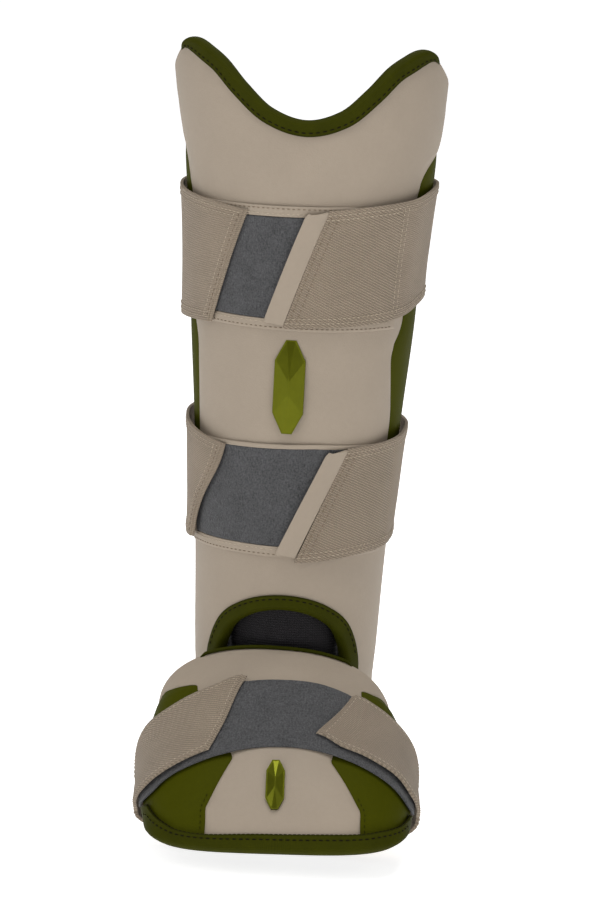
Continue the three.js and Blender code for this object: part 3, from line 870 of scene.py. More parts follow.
TAN = (0.322, 0.266, 0.206)
ELASTIC = (0.262, 0.209, 0.154)
OLIVE = (0.045, 0.048, 0.0003)
TAPE = (0.030, 0.0325, 0.0003)
LOOP_GREY = (0.068, 0.068, 0.070)
MESH_BLACK = (0.010, 0.009, 0.010)
LINING_BLACK = (0.020, 0.020, 0.021)
BADGE_OLIVE = (0.095, 0.102, 0.002)
TAN_THREAD = (0.44, 0.37, 0.285)
BROWN_THREAD = (0.19, 0.142, 0.098)
DARK_THREAD = (0.010, 0.008, 0.003)
OLIVE_THREAD = (0.018, 0.017, 0.001)


def coated_leather(name, colour, roughness, grain_mm, shine):
    """Smooth coated leather: a fine pebble grain, faint clouding and small creases."""
    finish = Finish(name, Specular_IOR_Level=shine)
    clouds = finish.mottle(38, 4)
    specks = finish.mottle(2.2, 2)
    share = (clouds * 0.75 + specks * 0.25 - 0.5) * 1.7 + 0.5
    pebble = finish.cells(grain_mm)
    colour = finish.shade(share.clamped(), tone(colour, 0.92), tone(colour, 1.07))
    rough = clouds * 0.14 + (roughness - 0.07)
    creases = finish.mottle(9, 3)
    return finish.done(colour, rough, pebble * 0.5 + creases * 0.9, 0.11)


def woven_tape(name, colour):
    """Binding tape: a very close weave, faintly worn, with painted shade along its outer hem for the seam's
    shadow.
    """
    finish = Finish(name, Specular_IOR_Level=0.05)
    along, across = finish.weave_place()
    ribs = wave(along, 0.6)
    picks = wave(across, 0.6)
    fade = finish.mottle(11, 3)
    # Painted shade: within 0.7 mm of the outer hem the colour is darkened, standing in for the seam's shadow
    # there.
    past_painted_hem_shade = across.over(0.7 * MM)
    share = (ribs * 0.2 + picks * 0.2 + fade * 0.6) * (past_painted_hem_shade * 0.8 + 0.2)
    colour = finish.shade(share, tone(colour, 0.62), tone(colour, 1.38))
    return finish.done(colour, fade * 0.15 + 0.60, ribs * 0.5 + picks * 0.5, 0.05)


def elastic_web(name, colour, seam_mm, lean, slant, pitch_mm):
    """Knitted elastic: a pebbled twill up to a leaning cross seam, and fine ribs beyond it."""
    finish = Finish(name, Specular_IOR_Level=0.15, Sheen_Weight=0.1, Sheen_Roughness=0.6)
    along, across = finish.weave_place()
    twill = wave(along * slant + across * 0.9, pitch_mm)
    knots = wave(along * 0.9 - across * slant, pitch_mm * 1.15)
    cord = twill * 0.65 + twill * knots * 0.7
    ribs = wave(across, 1.1) * 0.6 + wave(along, 0.65) * 0.2
    beyond = (along + across * lean).over(seam_mm * MM)
    relief = cord * (1 - beyond) + ribs * beyond
    fuzz = finish.mottle(0.7, 2)
    clouds = finish.mottle(26, 3)
    share = relief * 0.55 + fuzz * 0.3 + clouds * 0.35 - 0.1
    colour = finish.shade(share.clamped(), tone(colour, 0.56), tone(colour, 1.38))
    return finish.done(colour, fuzz * 0.1 + 0.84, relief + fuzz * 0.35, 0.28)


def loop_pile(name):
    """Brushed loop pile: mottled grey fuzz with a faint nap up the panel."""
    finish = Finish(name, Specular_IOR_Level=0.1, Sheen_Weight=0.12, Sheen_Roughness=0.5)
    nap = finish.mottle(1.0, 3, finish.stretched((1.6, 0.45, 1)))
    tufts = finish.mottle(0.8, 4)
    clouds = finish.mottle(9, 3)
    share = (nap * 0.6 + tufts * 1.0 + clouds * 0.3 - 0.95) * 1.5 + 0.5
    colour = finish.shade(share.clamped(), tone(LOOP_GREY, 0.5), tone(LOOP_GREY, 1.58))
    return finish.done(colour, 0.95, tufts + nap * 0.6, 0.42)


def spacer_mesh(name, colour, cell_mm):
    """Knitted spacer mesh: rows of small dark holes between raised yarns."""
    finish = Finish(name, Specular_IOR_Level=0.2)
    along, across = finish.weave_place()
    yarns = wave(across, cell_mm)
    holes = wave(along, cell_mm) * wave(across, cell_mm)
    clouds = finish.mottle(10, 3)
    share = yarns * 0.55 + clouds * 0.5 - holes * 0.45
    colour = finish.shade(share.clamped(), tone(colour, 0.2), tone(colour, 2.9))
    return finish.done(colour, clouds * 0.2 + 0.65, yarns - holes * 0.8, 0.22)


def moulded_gloss(name):
    """Gloss moulded plastic with a metallic olive tint, a slight orange-peel skin and fine scuffs."""
    finish = Finish(name, Metallic=0.75, Specular_IOR_Level=0.3)
    peel = finish.mottle(1.6, 2)
    scuffs = finish.mottle(5, 5)
    colour = finish.shade(scuffs, tone(BADGE_OLIVE, 0.85), tone(BADGE_OLIVE, 1.15))
    return finish.done(colour, scuffs * 0.14 + 0.24, peel, 0.02)


def sewing_thread(name, colour):
    finish = Finish(name, Specular_IOR_Level=0.05)
    fibre = finish.mottle(0.5, 3)
    shade = finish.shade(fibre, tone(colour, 0.75), tone(colour, 1.25))
    return finish.done(shade, fibre * 0.1 + 0.7, fibre, 0.05)


tan_leather = coated_leather("tan_leather", TAN, 0.60, 0.8, 0.25)
olive_leather = coated_leather("olive_leather", OLIVE, 0.66, 0.7, 0.04)
olive_tape = woven_tape("olive_tape", TAPE)
grey_loop = loop_pile("grey_loop")
dark_mesh = spacer_mesh("dark_mesh", MESH_BLACK, 1.25)
lining = spacer_mesh("black_lining", LINING_BLACK, 1.8)
badge_gloss = moulded_gloss("gloss_olive")
tan_thread = sewing_thread("tan_thread", TAN_THREAD)
brown_thread = sewing_thread("brown_thread", BROWN_THREAD)
dark_thread = sewing_thread("dark_thread", DARK_THREAD)
olive_thread = sewing_thread("olive_thread", OLIVE_THREAD)


# Stitches


def stitch_shape():
    """One stitch: a plump thread with round ends, a millimetre long, lying along X."""
    bpy.ops.object.select_all(action="DESELECT")
    bpy.ops.mesh.primitive_uv_sphere_add(segments=6, ring_count=5, radius=0.5)
    ball = bpy.context.object
    turned = Matrix.Rotation(math.pi / 2, 4, "Y")
    corners = [turned @ vertex.co for vertex in ball.data.vertices]
    faces = [tuple(face.vertices) for face in ball.data.polygons]
    bpy.data.objects.remove(ball)
    return corners, faces


STITCH_CORNERS, STITCH_FACES = stitch_shape()


def sew(name, runs, thread, kind):
    """Rows of stitches. Each run is a path that gives a point for a share of its length and a lift."""
    pitch, length, thick = STITCHES[kind]
    points = []
    faces = []
    for run in runs:
        line = [run(i / RUN_STEPS, 0) for i in range(RUN_STEPS + 1)]
        along = [0.0]
        for a, b in zip(line, line[1:]):
            along.append(along[-1] + (b - a).length)
        count = max(1, round(along[-1] / (pitch * MM)))
        here = 0
        for n in range(count):
            target = along[-1] * (n + 0.5) / count
            while along[here + 1] < target:
                here += 1
            share = (here + (target - along[here]) / (along[here + 1] - along[here])) / RUN_STEPS
            ahead = (run(min(1, share + 0.002), 0) - run(max(0, share - 0.002), 0)).normalized()
            out = run(share, 1) - run(share, 0)
            side = out.cross(ahead).normalized()
            out = ahead.cross(side).normalized()
            centre = run(share, STITCH_SEAT)
            start = len(points)
            for corner in STITCH_CORNERS:
                offset = ahead * corner.x * length + side * corner.y * thick + out * corner.z * thick
                points.append(centre + offset * MM)
            faces.extend(tuple(start + i for i in face) for face in STITCH_FACES)
    mesh = bpy.data.meshes.new(name)
    mesh.from_pydata(points, [], faces)
    mesh.update()
    row = bpy.data.objects.new(name, mesh)
    bpy.context.scene.collection.objects.link(row)
    mesh.materials.append(thread)
    smooth(row, 180)
    return dress(row)


# Shin shell


def shell_angle(column, height):
    """The angle of a column of the front panel, squeezed in between the side panels."""
    side = 1 if column >= 0 else -1
    inner = min(abs(column), SEAM_COLUMNS_FROM)
    outer = (abs(column) - inner) / (SHELL_REACH - SEAM_COLUMNS_FROM)
    return side * (inner + outer * (seam_angle(side, height) - SEAM_COLUMNS_FROM))


def shin_shell():
    depths = []

    def place(across, up):
        column = mix(-SHELL_REACH, SHELL_REACH, across)
        low = arch_at(column)["height"]
        high = rim_at(column)["height"]
        height = round(mix(low, high, up), 4)
        angle = shell_angle(column, height)
        side = 1 if angle >= 0 else -1
        to_seam = abs(seam_angle(side, height) - abs(angle)) / shin_degrees(1, height)
        to_back = (SHELL_REACH - abs(angle)) / shin_degrees(1, height)
        to_edge = min(height - low, high - height)
        depths.append(padding(SHIN_PAD, min(to_edge, to_back + BACK_TAPER_START)))
        return shin(angle, height, SHIN_FACE + roll(to_seam))

    piece = cut("shin_shell_panel", 112, 160, place, [tan_leather, lining])
    stuff(piece, SHIN_PAD, depths)
    dress(piece, "shin_shell")


def shin_side(name, node, side):
    depths = []

    def place(across, up):
        height = round(mix(SIDE_PANEL_LOW, SIDE_PANEL_HIGH, up), 4)
        seam = seam_angle(side, height)
        tucked = seam - shin_degrees(SEAM_TUCK, height)
        inner = min(tucked, SHELL_REACH - SIDE_PANEL_LEAST)
        angle = mix(inner, SHELL_REACH, across if side > 0 else 1 - across)
        to_seam = (angle - tucked) / shin_degrees(1, height)
        to_back = (SHELL_REACH - angle) / shin_degrees(1, height)
        to_end = min(height - SIDE_PANEL_LOW, SIDE_PANEL_HIGH - height)
        depths.append(padding(SHIN_PAD, to_back + BACK_TAPER_START))
        to_edge = min(to_back, to_end + TUCKED_ROLL, to_seam + TUCKED_ROLL)
        return shin(side * angle, height, SHIN_SIDE_FACE + roll(to_edge))

    piece = cut(name, 26, 84, place, [olive_leather, lining])
    stuff(piece, SHIN_PAD, depths)
    dress(piece, node)


def edge_place(edge_at, outwards, angle, distance):
    """The angle and height of a place that far past an edge of the shin shell, square to it."""
    height = edge_at(angle)["height"]
    reach = 1 / shin_degrees(1, height)
    rise = (edge_at(angle + 0.5)["height"] - edge_at(angle - 0.5)["height"]) / reach
    push = outwards * distance / math.hypot(1, rise)
    return angle - push * rise / reach, height + push


def shin_depth(angle, height):
    to_edge = min(height - arch_at(angle)["height"], rim_at(angle)["height"] - height)
    return padding(SHIN_PAD, to_edge)


def tape_fold(share, width, back, sink, on_face, past_edge, inside):
    """A point on a tape folded over an edge, from its outer hem over the edge to its inner hem."""
    radius = EDGE_PAD / 2 + BINDING_GAP - sink
    bend = FOLD_LENGTH * radius
    at = share * (width + bend + back)
    if at < width:
        return on_face(width - at, BINDING_GAP - sink)
    at -= width
    if at < bend:
        turn = math.pi * at / bend
        return past_edge(FOLD_FLATNESS * radius * math.sin(turn), radius * math.cos(turn) - EDGE_PAD / 2)
    return inside(at - bend, BINDING_GAP - sink)


def shin_binding(name, node, edge_at, end, outwards, columns):
    def place(across, over):
        angle = outwards * mix(-end, end, across)
        width = edge_at(angle)["binding"]
        sink = TAPE_SINK * (1 - ease((end - abs(angle)) / TAPE_END))

        def on_face(back, lift):
            return shin(*edge_place(edge_at, outwards, angle, -back), lift)

        def past_edge(reach, depth):
            return shin(*edge_place(edge_at, outwards, angle, reach), depth)

        def inside(back, lift):
            hem = edge_place(edge_at, outwards, angle, -back)
            return shin(*hem, -shin_depth(*hem) - lift)

        return tape_fold(over, width, width, sink, on_face, past_edge, inside)

    piece = cut(name, columns, 26, place, [olive_tape])
    thicken(piece, BINDING_TAPE)
    dress(piece, node)

    def row(share, lift):
        angle = mix(TAPE_END - end, end - TAPE_END, share)
        width = edge_at(angle)["binding"]
        spot = edge_place(edge_at, outwards, angle, -SHIN_TAPE_ROW * width)
        return shin(*spot, BINDING_GAP + BINDING_TAPE + lift)

    stitches = sew(name + "_stitches", [row], dark_thread, "shin_tape")


def pile(spot):
    """How far the loop pile stands up at a spot, in millimetres."""
    tufts = noise.noise(spot / (TUFT_SIZE * MM)) * TUFT_RISE
    waves = noise.noise(spot / (WAVE_SIZE * MM)) * WAVE_RISE
    return tufts + waves - PILE_SETTLE


def shin_loop(name, node, panel):
    edges = panel["edges"]

    def place(across, up):
        angle = mix(edges[0]["angle"], edges[-1]["angle"], across)
        row = between(edges, angle, False)
        height = round(mix(row["low"], row["high"], up), 4)
        inwards = ease(SHIN_PILE_FADE * min(up, 1 - up, 2 * across, 2 - 2 * across))
        return shin(angle, height, SHIN_LOOP_LIFT + GAP + pile(shin(angle, height, 0)) * inwards)

    piece = cut(name, 130, 64, place, [grey_loop])
    thicken(piece, LOOP_PILE - PILE_ALLOWANCE, round_edge=0.4)
    dress(piece, node)


def trim_spot(panel, round_share, share):
    """The angle and height at a share of the way round a loop panel and a share of its trim's width."""
    edges = panel["edges"]
    widen = shin_degrees(GAP + share * TRIM_WIDTH, edges[0]["low"])
    start, end = edges[0]["angle"] - widen, edges[-1]["angle"] + widen
    below, above = (GAP + share * width for width in panel["trim"])
    side = min(3, int(round_share * 4 + 1e-6))
    along = round_share * 4 - side
    angle = (mix(start, end, along), end, mix(end, start, along), start)[side]
    row = between(edges, angle, False)
    low, high = row["low"] - below, row["high"] + above
    return angle, (low, mix(low, high, along), high, mix(high, low, along))[side]


def loop_trim(name, node, panel):
    def place(round_share, across):
        angle, height = trim_spot(panel, round_share, 1 - across)
        return shin(angle, height, SHIN_LOOP_LIFT + GAP + TRIM_CROWN * math.sin(math.pi * across))

    piece = cut(name, 200, 6, place, [tan_leather])
    apply(piece, "WELD", merge_threshold=0.00002)
    thicken(piece, TRIM_TAPE, round_edge=0.3)
    dress(piece, node)

    def row(side, across):
        def path(share, lift):
            along = mix(TRIM_ROW_END, 1 - TRIM_ROW_END, share)
            angle, height = trim_spot(panel, (side + along) / 4, across)
            return shin(angle, height, SHIN_LOOP_LIFT + GAP + TRIM_ROW_CROWN + TRIM_TAPE + lift)

        return path

    wide_sides = [side for side, width in zip((0, 2), panel["trim"]) if width > SEWN_TRIM]
    inner = [row(side, TRIM_ROW_INNER) for side in wide_sides]
    outer = [row(side, TRIM_ROW_OUTER) for side in wide_sides]
    stitches = [
        sew(name + "_inner_stitches", inner, tan_thread, "trim_inner"),
        sew(name + "_outer_stitches", outer, brown_thread, "trim_outer"),
    ]


# Calf straps


def strap_spot(strap, share, across):
    """The turn, height and lift of a place on a calf strap."""
    start = mix(*strap["start"], across)
    end = mix(*strap["end"], across) - strap["bend"] * math.sin(2 * math.pi * across)
    turn = mix(start, end, share)
    row = between(strap["path"], turn)
    peel = strap["peel"] * ease((share - PEEL_FROM) / (1 - PEEL_FROM)) * (1 - across)
    return turn, mix(row["low"], row["high"], across), row["lift"] + row["flare"] * across + peel


def strap_point(strap, share, across, extra):
    turn, height, lift = strap_spot(strap, share, across)
    return shin(turn, height, lift + extra)


def closer_at_ends(length):
    """Spaces a strap's columns closer over its last few millimetres."""
    end = CLOSE_COLUMNS_OVER / length
    part = CLOSE_COLUMNS_SHARE

    def spread(share):
        if share < part:
            return end * share / part
        if share > 1 - part:
            return 1 - end * (1 - share) / part
        return mix(end, 1 - end, (share - part) / (1 - 2 * part))

    return spread


def web_shape(length, width, share, across, both_ends):
    """The hem's rise at a place on a strap, and the share of its thickness, less on the underlay."""
    to_end = (1 - share) * length
    if both_ends:
        to_end = min(to_end, share * length)
    edge = min(across * width, (1 - across) * width, max(0, to_end - UNDERLAY))
    rise = HEM_FOLD * ease((HEM_WIDTH - edge) / HEM_STEP)
    return rise, mix(UNDERLAY_SHARE, 1, ease((to_end - UNDERLAY) / UNDERLAY_STEP + 0.5))


def straight_row(point, start, end, height):
    """A stitch row on a strap between two places, each given as its shares along and across."""

    def path(share, lift):
        along = mix(start[0], end[0], share)
        across = mix(start[1], end[1], share)
        return point(along, across, height + lift)

    return path


def calf_strap(name, node, strap):
    length = path_length([strap_point(strap, i / 100, 0.5, 0) for i in range(101)]) / MM
    row = between(strap["path"], strap["start"][1])
    width = row["high"] - row["low"]
    shares = []

    def place(share, across):
        rise, thickness = web_shape(length, width, share, across, False)
        shares.append(thickness)
        spot = Vector((share * RIPPLES_ALONG, across * RIPPLES_ACROSS, RIPPLE_LAYER))
        return strap_point(strap, share, across, rise + RIPPLE * noise.noise(spot))

    def seam_share(across):
        start = mix(*strap["start"], across)
        return (strap["seam"] - start) / (mix(*strap["end"], across) - start)

    lean = (seam_share(0) - seam_share(1)) * length / width
    web = elastic_web(name + "_elastic", ELASTIC, seam_share(0) * length, lean, **CALF_WEAVE)
    piece = cut(name, 320, 44, place, [web], closer_at_ends(length))
    thicken(piece, STRAP_WEB, round_edge=0.5, shares=shares)
    dress(piece, node)

    def point(along, across, lift):
        return strap_point(strap, along, across, lift)

    def edge_row(inset):
        across = inset / width if inset > 0 else 1 + inset / width
        end = 1 - HEM_ROW_END / length
        return straight_row(point, (0, across), (end, across), STRAP_WEB + HEM_FOLD)

    def end_row(inset, hemmed):
        along = (1 if inset < 0 else 0) + inset / length
        margin = CROSS_ROW_MARGIN
        return straight_row(point, (along, margin), (along, 1 - margin), STRAP_WEB + hemmed)

    def seam_row(offset):
        def path(share, lift):
            across = mix(CROSS_ROW_MARGIN, 1 - CROSS_ROW_MARGIN, share)
            return strap_point(strap, seam_share(across) + offset / length, across, STRAP_WEB + lift)

        return path

    pale = [edge_row(inset) for inset in HEM_ROWS] + [end_row(LEFT_END_PALE_ROW, HEM_FOLD)]
    if strap["seam_sewn"]:
        pale += [seam_row(offset) for offset in SEAM_ROWS]
    dark = [end_row(inset, 0) for inset in RIGHT_END_ROWS] + [end_row(LEFT_END_ROW, HEM_FOLD)]
    stitches = [
        sew(name + "_hem_stitches", pale, tan_thread, "strap_hem"),
        sew(name + "_end_stitches", dark, brown_thread, "strap_end"),
    ]


def pull_tab(name, node, strap):
    row = between(strap["path"], strap["start"][1])
    low = row["low"] + TAB_INSET
    high = row["high"] - TAB_INSET
    tall = high - low

    def place(across, up):
        height = mix(low + TAB_SLOPE * (1 - across), high - 2 * TAB_SLOPE * (1 - across), up)
        reach = (height - row["low"]) / (row["high"] - row["low"])
        seam = mix(*strap["start"], reach)
        corner = TAB_CORNER - min(up * tall, (1 - up) * tall)
        inset = TAB_CORNER - math.sqrt(max(0, TAB_CORNER**2 - corner**2)) if corner > 0 else 0
        width = mix(TAB_WIDTH - inset, inset * TAB_INNER_CORNER, across)
        crown = TAB_CROWN * math.sin(math.pi * across) ** TAB_FULLNESS
        return shin(seam - shin_degrees(width + GAP, height), height, STRAP_LIFT + TAB_LIFT + crown)

    piece = cut(name, 16, 60, place, [tan_leather])
    thicken(piece, TAB_SKIN, round_edge=0.6)
    dress(piece, node)
    area = FLAT_CUTS[name]["area"]
    flat = (LEAST_FLAT_WIDTH * MM, area / (TAB_FLAT_WIDTH * MM))


# Foot guard


def foot_gap(angle, other, along):
    return (foot_face(angle, along) - foot_face(other, along)).length


def toe_cap(angle, along):
    """The soft ridge across the toe, where its top turns down to its front."""
    ridge = TOE_RIDGE * math.exp(-(((along - TOE_RIDGE_AT) / TOE_RIDGE_WIDTH) ** 2))
    return ridge * ease((TOE_RIDGE_END - abs(angle)) / TOE_RIDGE_FADE)


def foot_shell():
    depths = []

    def place(across, up):
        along = round(1 - up, 5)
        share = 2 * across - 1
        side = 1 if share >= 0 else -1
        seam = foot_seam(side, along)
        angle = share * seam
        to_seam = foot_gap(angle, side * seam, along)
        if along <= COLLAR_SEAM_END:
            to_seam += COLLAR_SEAM_LIFT
        depths.append(foot_padding(along))
        return foot(angle, along, FOOT_FACE + roll(to_seam) + toe_cap(angle, along))

    piece = cut("foot_shell_panel", 76, 120, place, [tan_leather, lining])
    stuff(piece, FOOT_PAD, depths)
    dress(piece, "foot_shell")


def foot_side(name, node, side):
    depths = []

    def place(across, up):
        along = round(mix(1, FOOT_PANEL_START, up), 5)
        seam = foot_seam(side, along)
        tucked = min(seam - SEAM_TUCK, FOOT_TUCK_LAST)
        angle = side * mix(tucked, 90, across if side > 0 else 1 - across)
        to_seam = foot_gap(angle, side * tucked, along)
        depths.append(foot_padding(along))
        return foot(angle, along, FOOT_SIDE_FACE + roll(to_seam + TUCKED_ROLL) + toe_cap(angle, along))

    piece = cut(name, 44, 110, place, [olive_leather, lining])
    stuff(piece, FOOT_PAD, depths)
    dress(piece, node)

    def row(share, lift):
        along = mix(TOE_ROW_FROM, TOE_ROW_TO, share)
        angle = side * (foot_seam(side, along) + TOE_ROW_INSET)
        return foot(angle, along, toe_cap(angle, along) - TOE_ROW_SINK + lift)

    sew(name + "_stitches", [row], olive_thread, "toe_panel")


def foot_binding(name, node, edge, widths, back, reach, columns):
    """A tape folded over the foot shell's collar, at 0, or its toe edge, at 1."""
    outwards = 1 if edge else -1

    def spread(share):
        x = mix(-1, 1, share)
        return reach * math.copysign(abs(x) ** FOOT_TAPE_SPREAD, x)

    def place(across, over):
        angle = -outwards * spread(across)
        width = between(widths, angle)["width"]
        down = foot_frame(angle, edge)[0]
        sink = TAPE_SINK * (1 - ease((reach - abs(angle)) / FOOT_TAPE_END))

        def on_face(in_by, lift):
            return foot(angle, edge - outwards * in_by / FOOT_LENGTH, lift)

        def past_edge(by, depth):
            return foot(angle, edge, depth) + down * (outwards * by * MM)

        def inside(in_by, lift):
            along = edge - outwards * in_by / FOOT_LENGTH
            return foot(angle, along, -foot_padding(along) - lift)

        return tape_fold(over, width, back, sink, on_face, past_edge, inside)

    piece = cut(name, columns, 24, place, [olive_tape])
    thicken(piece, BINDING_TAPE)
    dress(piece, node)
    rows = []
    if edge:

        def row(inset, end, height):
            def path(share, lift):
                angle = spread(mix(end, 1 - end, share))
                along = 1 - between(widths, angle)["width"] * inset / FOOT_LENGTH
                return foot(angle, along, toe_cap(angle, along) + height + lift)

            return path

        middle = row(**TOE_TAPE_ROW)
        # Painted shade: a dark row just past the tape's hem stands in for the seam's shadow.
        hem = row(**TOE_HEM_SHADE_ROW)
        rows = [
            sew(name + "_stitches", [middle], dark_thread, "toe_tape"),
            sew(name + "_hem_stitches", [hem], dark_thread, "toe_hem_shade"),
        ]


def foot_loop():
    def place(across, up):
        angle = mix(-FOOT_LOOP_REACH, FOOT_LOOP_REACH, across)
        row = between(FOOT_LOOP, angle)
        along = round(mix(row["front"], row["rear"], up), 5)
        rise = pile(foot_face(angle, along) * MM) * ease(FOOT_PILE_FADE * min(up, 1 - up))
        return foot(angle, along, FOOT_LOOP_LIFT + GAP + rise)

    piece = cut("foot_loop", 150, 50, place, [grey_loop])
    thicken(piece, LOOP_PILE - PILE_ALLOWANCE, round_edge=0.4)
    dress(piece, "foot_loop_panel")


def foot_strap_point(share, across, lift):
    """A point on the foot strap, from its left end under the sole to its right end."""

    def on_side(ends, edge, at):
        angle = mix(mix(*ends, across), edge, at)
        row = between(FOOT_STRAP, angle)
        stand = FOOT_STRAP_FLARE * across**2 * math.sin(math.pi * at)
        return foot(angle, round(mix(row["rear"], row["front"], across), 5), STRAP_LIFT + stand + lift)

    if share < FOOT_STRAP_SIDE:
        return on_side(FOOT_STRAP_LEFT, -90, share / FOOT_STRAP_SIDE)
    if share > 1 - FOOT_STRAP_SIDE:
        return on_side(FOOT_STRAP_RIGHT, 90, (1 - share) / FOOT_STRAP_SIDE)
    turn = math.pi * (share - FOOT_STRAP_SIDE) / (1 - 2 * FOOT_STRAP_SIDE)
    left = on_side(FOOT_STRAP_LEFT, -90, 1)
    right = on_side(FOOT_STRAP_RIGHT, 90, 1)
    point = left.lerp(right, (1 - math.cos(turn)) / 2)
    point.z = mix(point.z, (SOLE - STRAP_LIFT - lift) * MM, math.sin(turn) ** SOLE_ROUND)
    return point


def foot_strap():
    length = path_length([foot_strap_point(i / 100, 0.5, 0) for i in range(101)]) / MM
    shares = []

    def place(share, across):
        rise, thickness = web_shape(length, FOOT_STRAP_WIDTH, share, across, True)
        shares.append(thickness)
        return foot_strap_point(share, across, rise)

    web = elastic_web("foot_elastic", ELASTIC, length, 0, **FOOT_WEAVE)
    piece = cut("foot_strap_web", 280, 36, place, [web], closer_at_ends(length))
    thicken(piece, STRAP_WEB, round_edge=0.5, shares=shares)
    dress(piece, "foot_strap")

    def row(start, end):
        return straight_row(foot_strap_point, start, end, STRAP_WEB + HEM_FOLD)

    rear, front = FOOT_STRAP_HEM_ROW, 1 - FOOT_STRAP_HEM_ROW
    first, last = FOOT_STRAP_HEM_ROW_END, 1 - FOOT_STRAP_HEM_ROW_END
    rows = [row((first, across), (last, across)) for across in (rear, front)]
    rows += [row((along, rear), (along, front)) for along in (FOOT_STRAP_END_ROW, 1 - FOOT_STRAP_END_ROW)]
    stitches = sew("foot_strap_stitches", rows, tan_thread, "foot_strap")


# Mesh gusset


def gusset_rows(share):
    binding = BINDING_GAP + BINDING_TAPE + GUSSET_GAP
    points = []
    for row in GUSSET_SHIN:
        angle = share * row["reach"]
        points.append(shin(angle, row["height"], -shin_depth(angle, row["height"]) - binding - row["inset"]))
    for row in GUSSET_FOOT:
        angle = foot_angle(share * row["reach"], row["along"])
        points.append(foot(angle, row["along"], -foot_padding(row["along"]) - binding - row["inset"]))
    return points[::-1]


def ankle_gusset():
    strips = {}

    def place(across, up):
        share = round(2 * across - 1, 6)
        if share not in strips:
            strips[share] = gusset_rows(share)
        rows = strips[share]
        at = up * (len(rows) - 1)
        i = min(int(at), len(rows) - 2)
        t = at - i
        a, b = rows[max(0, i - 1)], rows[i]
        c, d = rows[i + 1], rows[min(len(rows) - 1, i + 2)]
        bend = (c - a) * t + (a * 2 - b * 5 + c * 4 - d) * t**2 + (b * 3 - a - c * 3 + d) * t**3
        return b + bend * 0.5

    piece = cut("ankle_mesh", 90, 90, place, [dark_mesh])
    apply(piece, "SOLIDIFY", thickness=GUSSET_MESH * MM, offset=-1)
    smooth(piece)
    dress(piece, "ankle_gusset")


# Badges


def badge(name, node, spot, up, out, width, ends, length, rim, ridge):
    """A plain long bar with blunt ends, a rim and a sharp ridge, seated on its panel."""
    bpy.ops.object.select_all(action="DESELECT")
    bpy.ops.mesh.primitive_cylinder_add(vertices=8, radius=0.5, depth=1, end_fill_type="NGON")
    piece = bpy.context.object
    piece.name = name
    piece.data.name = name
    outline = [(ends, 0.5), (width, BADGE_SHOULDER), (width, -BADGE_SHOULDER), (ends, -0.5)]
    outline += [(-across, along) for across, along in outline[::-1]]
    turns = {round(math.atan2(vertex.co.y, vertex.co.x), 4) for vertex in piece.data.vertices}
    ring = sorted(turns, reverse=True)
    first = min(ring, key=lambda turn: abs(turn - math.radians(67.5)))
    ring = ring[ring.index(first):] + ring[: ring.index(first)]
    for vertex in piece.data.vertices:
        across, along = outline[ring.index(round(math.atan2(vertex.co.y, vertex.co.x), 4))]
        vertex.co.x = across / 2 * MM
        vertex.co.y = along * length * MM
        vertex.co.z = (rim if vertex.co.z > 0 else -BADGE_SINK) * MM
    bpy.ops.object.mode_set(mode="EDIT")
    bpy.ops.mesh.select_mode(type="FACE")
    bpy.ops.mesh.select_all(action="DESELECT")
    bpy.ops.object.mode_set(mode="OBJECT")
    for face in piece.data.polygons:
        face.select = face.normal.z > 0.9
    bpy.ops.object.mode_set(mode="EDIT")
    bpy.ops.mesh.inset(thickness=BADGE_RIM_WIDTH * MM, depth=0)
    bpy.ops.mesh.extrude_region_move(TRANSFORM_OT_translate={"value": (0, 0, (ridge - rim) * MM)})
    bpy.ops.transform.resize(value=BADGE_RIDGE_SHARES, center_override=(0, 0, 0))
    bpy.ops.object.mode_set(mode="OBJECT")
    round_off(piece, 0.25, 2, 12)
    side = up.cross(out).normalized()
    up = out.cross(side).normalized()
    turned = Matrix((side, up, out.normalized())).transposed().to_4x4()
    piece.matrix_world = Matrix.Translation(spot) @ turned
    pick(piece)
    bpy.ops.object.transform_apply(location=True, rotation=True, scale=True)
    smooth(piece, 8)
    piece.data.materials.append(badge_gloss)
    dress(piece, node)


def badges():
    angle = SHIN_BADGE_ANGLE
    height = SHIN_BADGE_HEIGHT
    spot = shin(angle, height, BADGE_SEAT)
    up = shin(angle, height + 10, BADGE_SEAT) - shin(angle, height - 10, BADGE_SEAT)
    out = shin(angle, height, 5) - spot
    badge("shin_badge_bar", "shin_badge", spot, up, out, **SHIN_BADGE)
    along = TOE_BADGE_ALONG
    spot = foot(0, along, BADGE_SEAT)
    up = foot(0, along - 0.08, BADGE_SEAT) - foot(0, along + 0.08, BADGE_SEAT)
    out = foot(0, along, 5) - spot
    badge("toe_badge_bar", "toe_badge", spot, up, out, **TOE_BADGE)


def guard():
    shin_shell()
    shin_side("left_side_panel", "shin_side_left", -1)
    shin_side("right_side_panel", "shin_side_right", 1)
    shin_binding("rim_tape", "rim_binding", rim_at, RIM_BINDING_END, 1, 220)
    shin_binding("arch_tape", "arch_binding", arch_at, ARCH_BINDING_END, -1, 180)
    shin_loop("upper_loop", "upper_loop_panel", UPPER_LOOP)
    loop_trim("upper_trim", "upper_loop_trim", UPPER_LOOP)
    shin_loop("lower_loop", "lower_loop_panel", LOWER_LOOP)
    loop_trim("lower_trim", "lower_loop_trim", LOWER_LOOP)
    calf_strap("upper_web", "upper_strap", UPPER_STRAP)
    calf_strap("lower_web", "lower_strap", LOWER_STRAP)
    pull_tab("upper_tab", "upper_pull_tab", UPPER_STRAP)
    pull_tab("lower_tab", "lower_pull_tab", LOWER_STRAP)
    foot_shell()
    foot_side("left_toe_panel", "foot_side_left", -1)
    foot_side("right_toe_panel", "foot_side_right", 1)
    foot_binding("collar_tape", "collar_binding", 0, COLLAR_TAPE, COLLAR_BACK, COLLAR_REACH, 60)
    foot_binding("toe_tape", "toe_binding", 1, TOE_TAPE, TOE_BACK, TOE_REACH, 200)
    foot_loop()
    foot_strap()
    ankle_gusset()
    badges()


# Studio

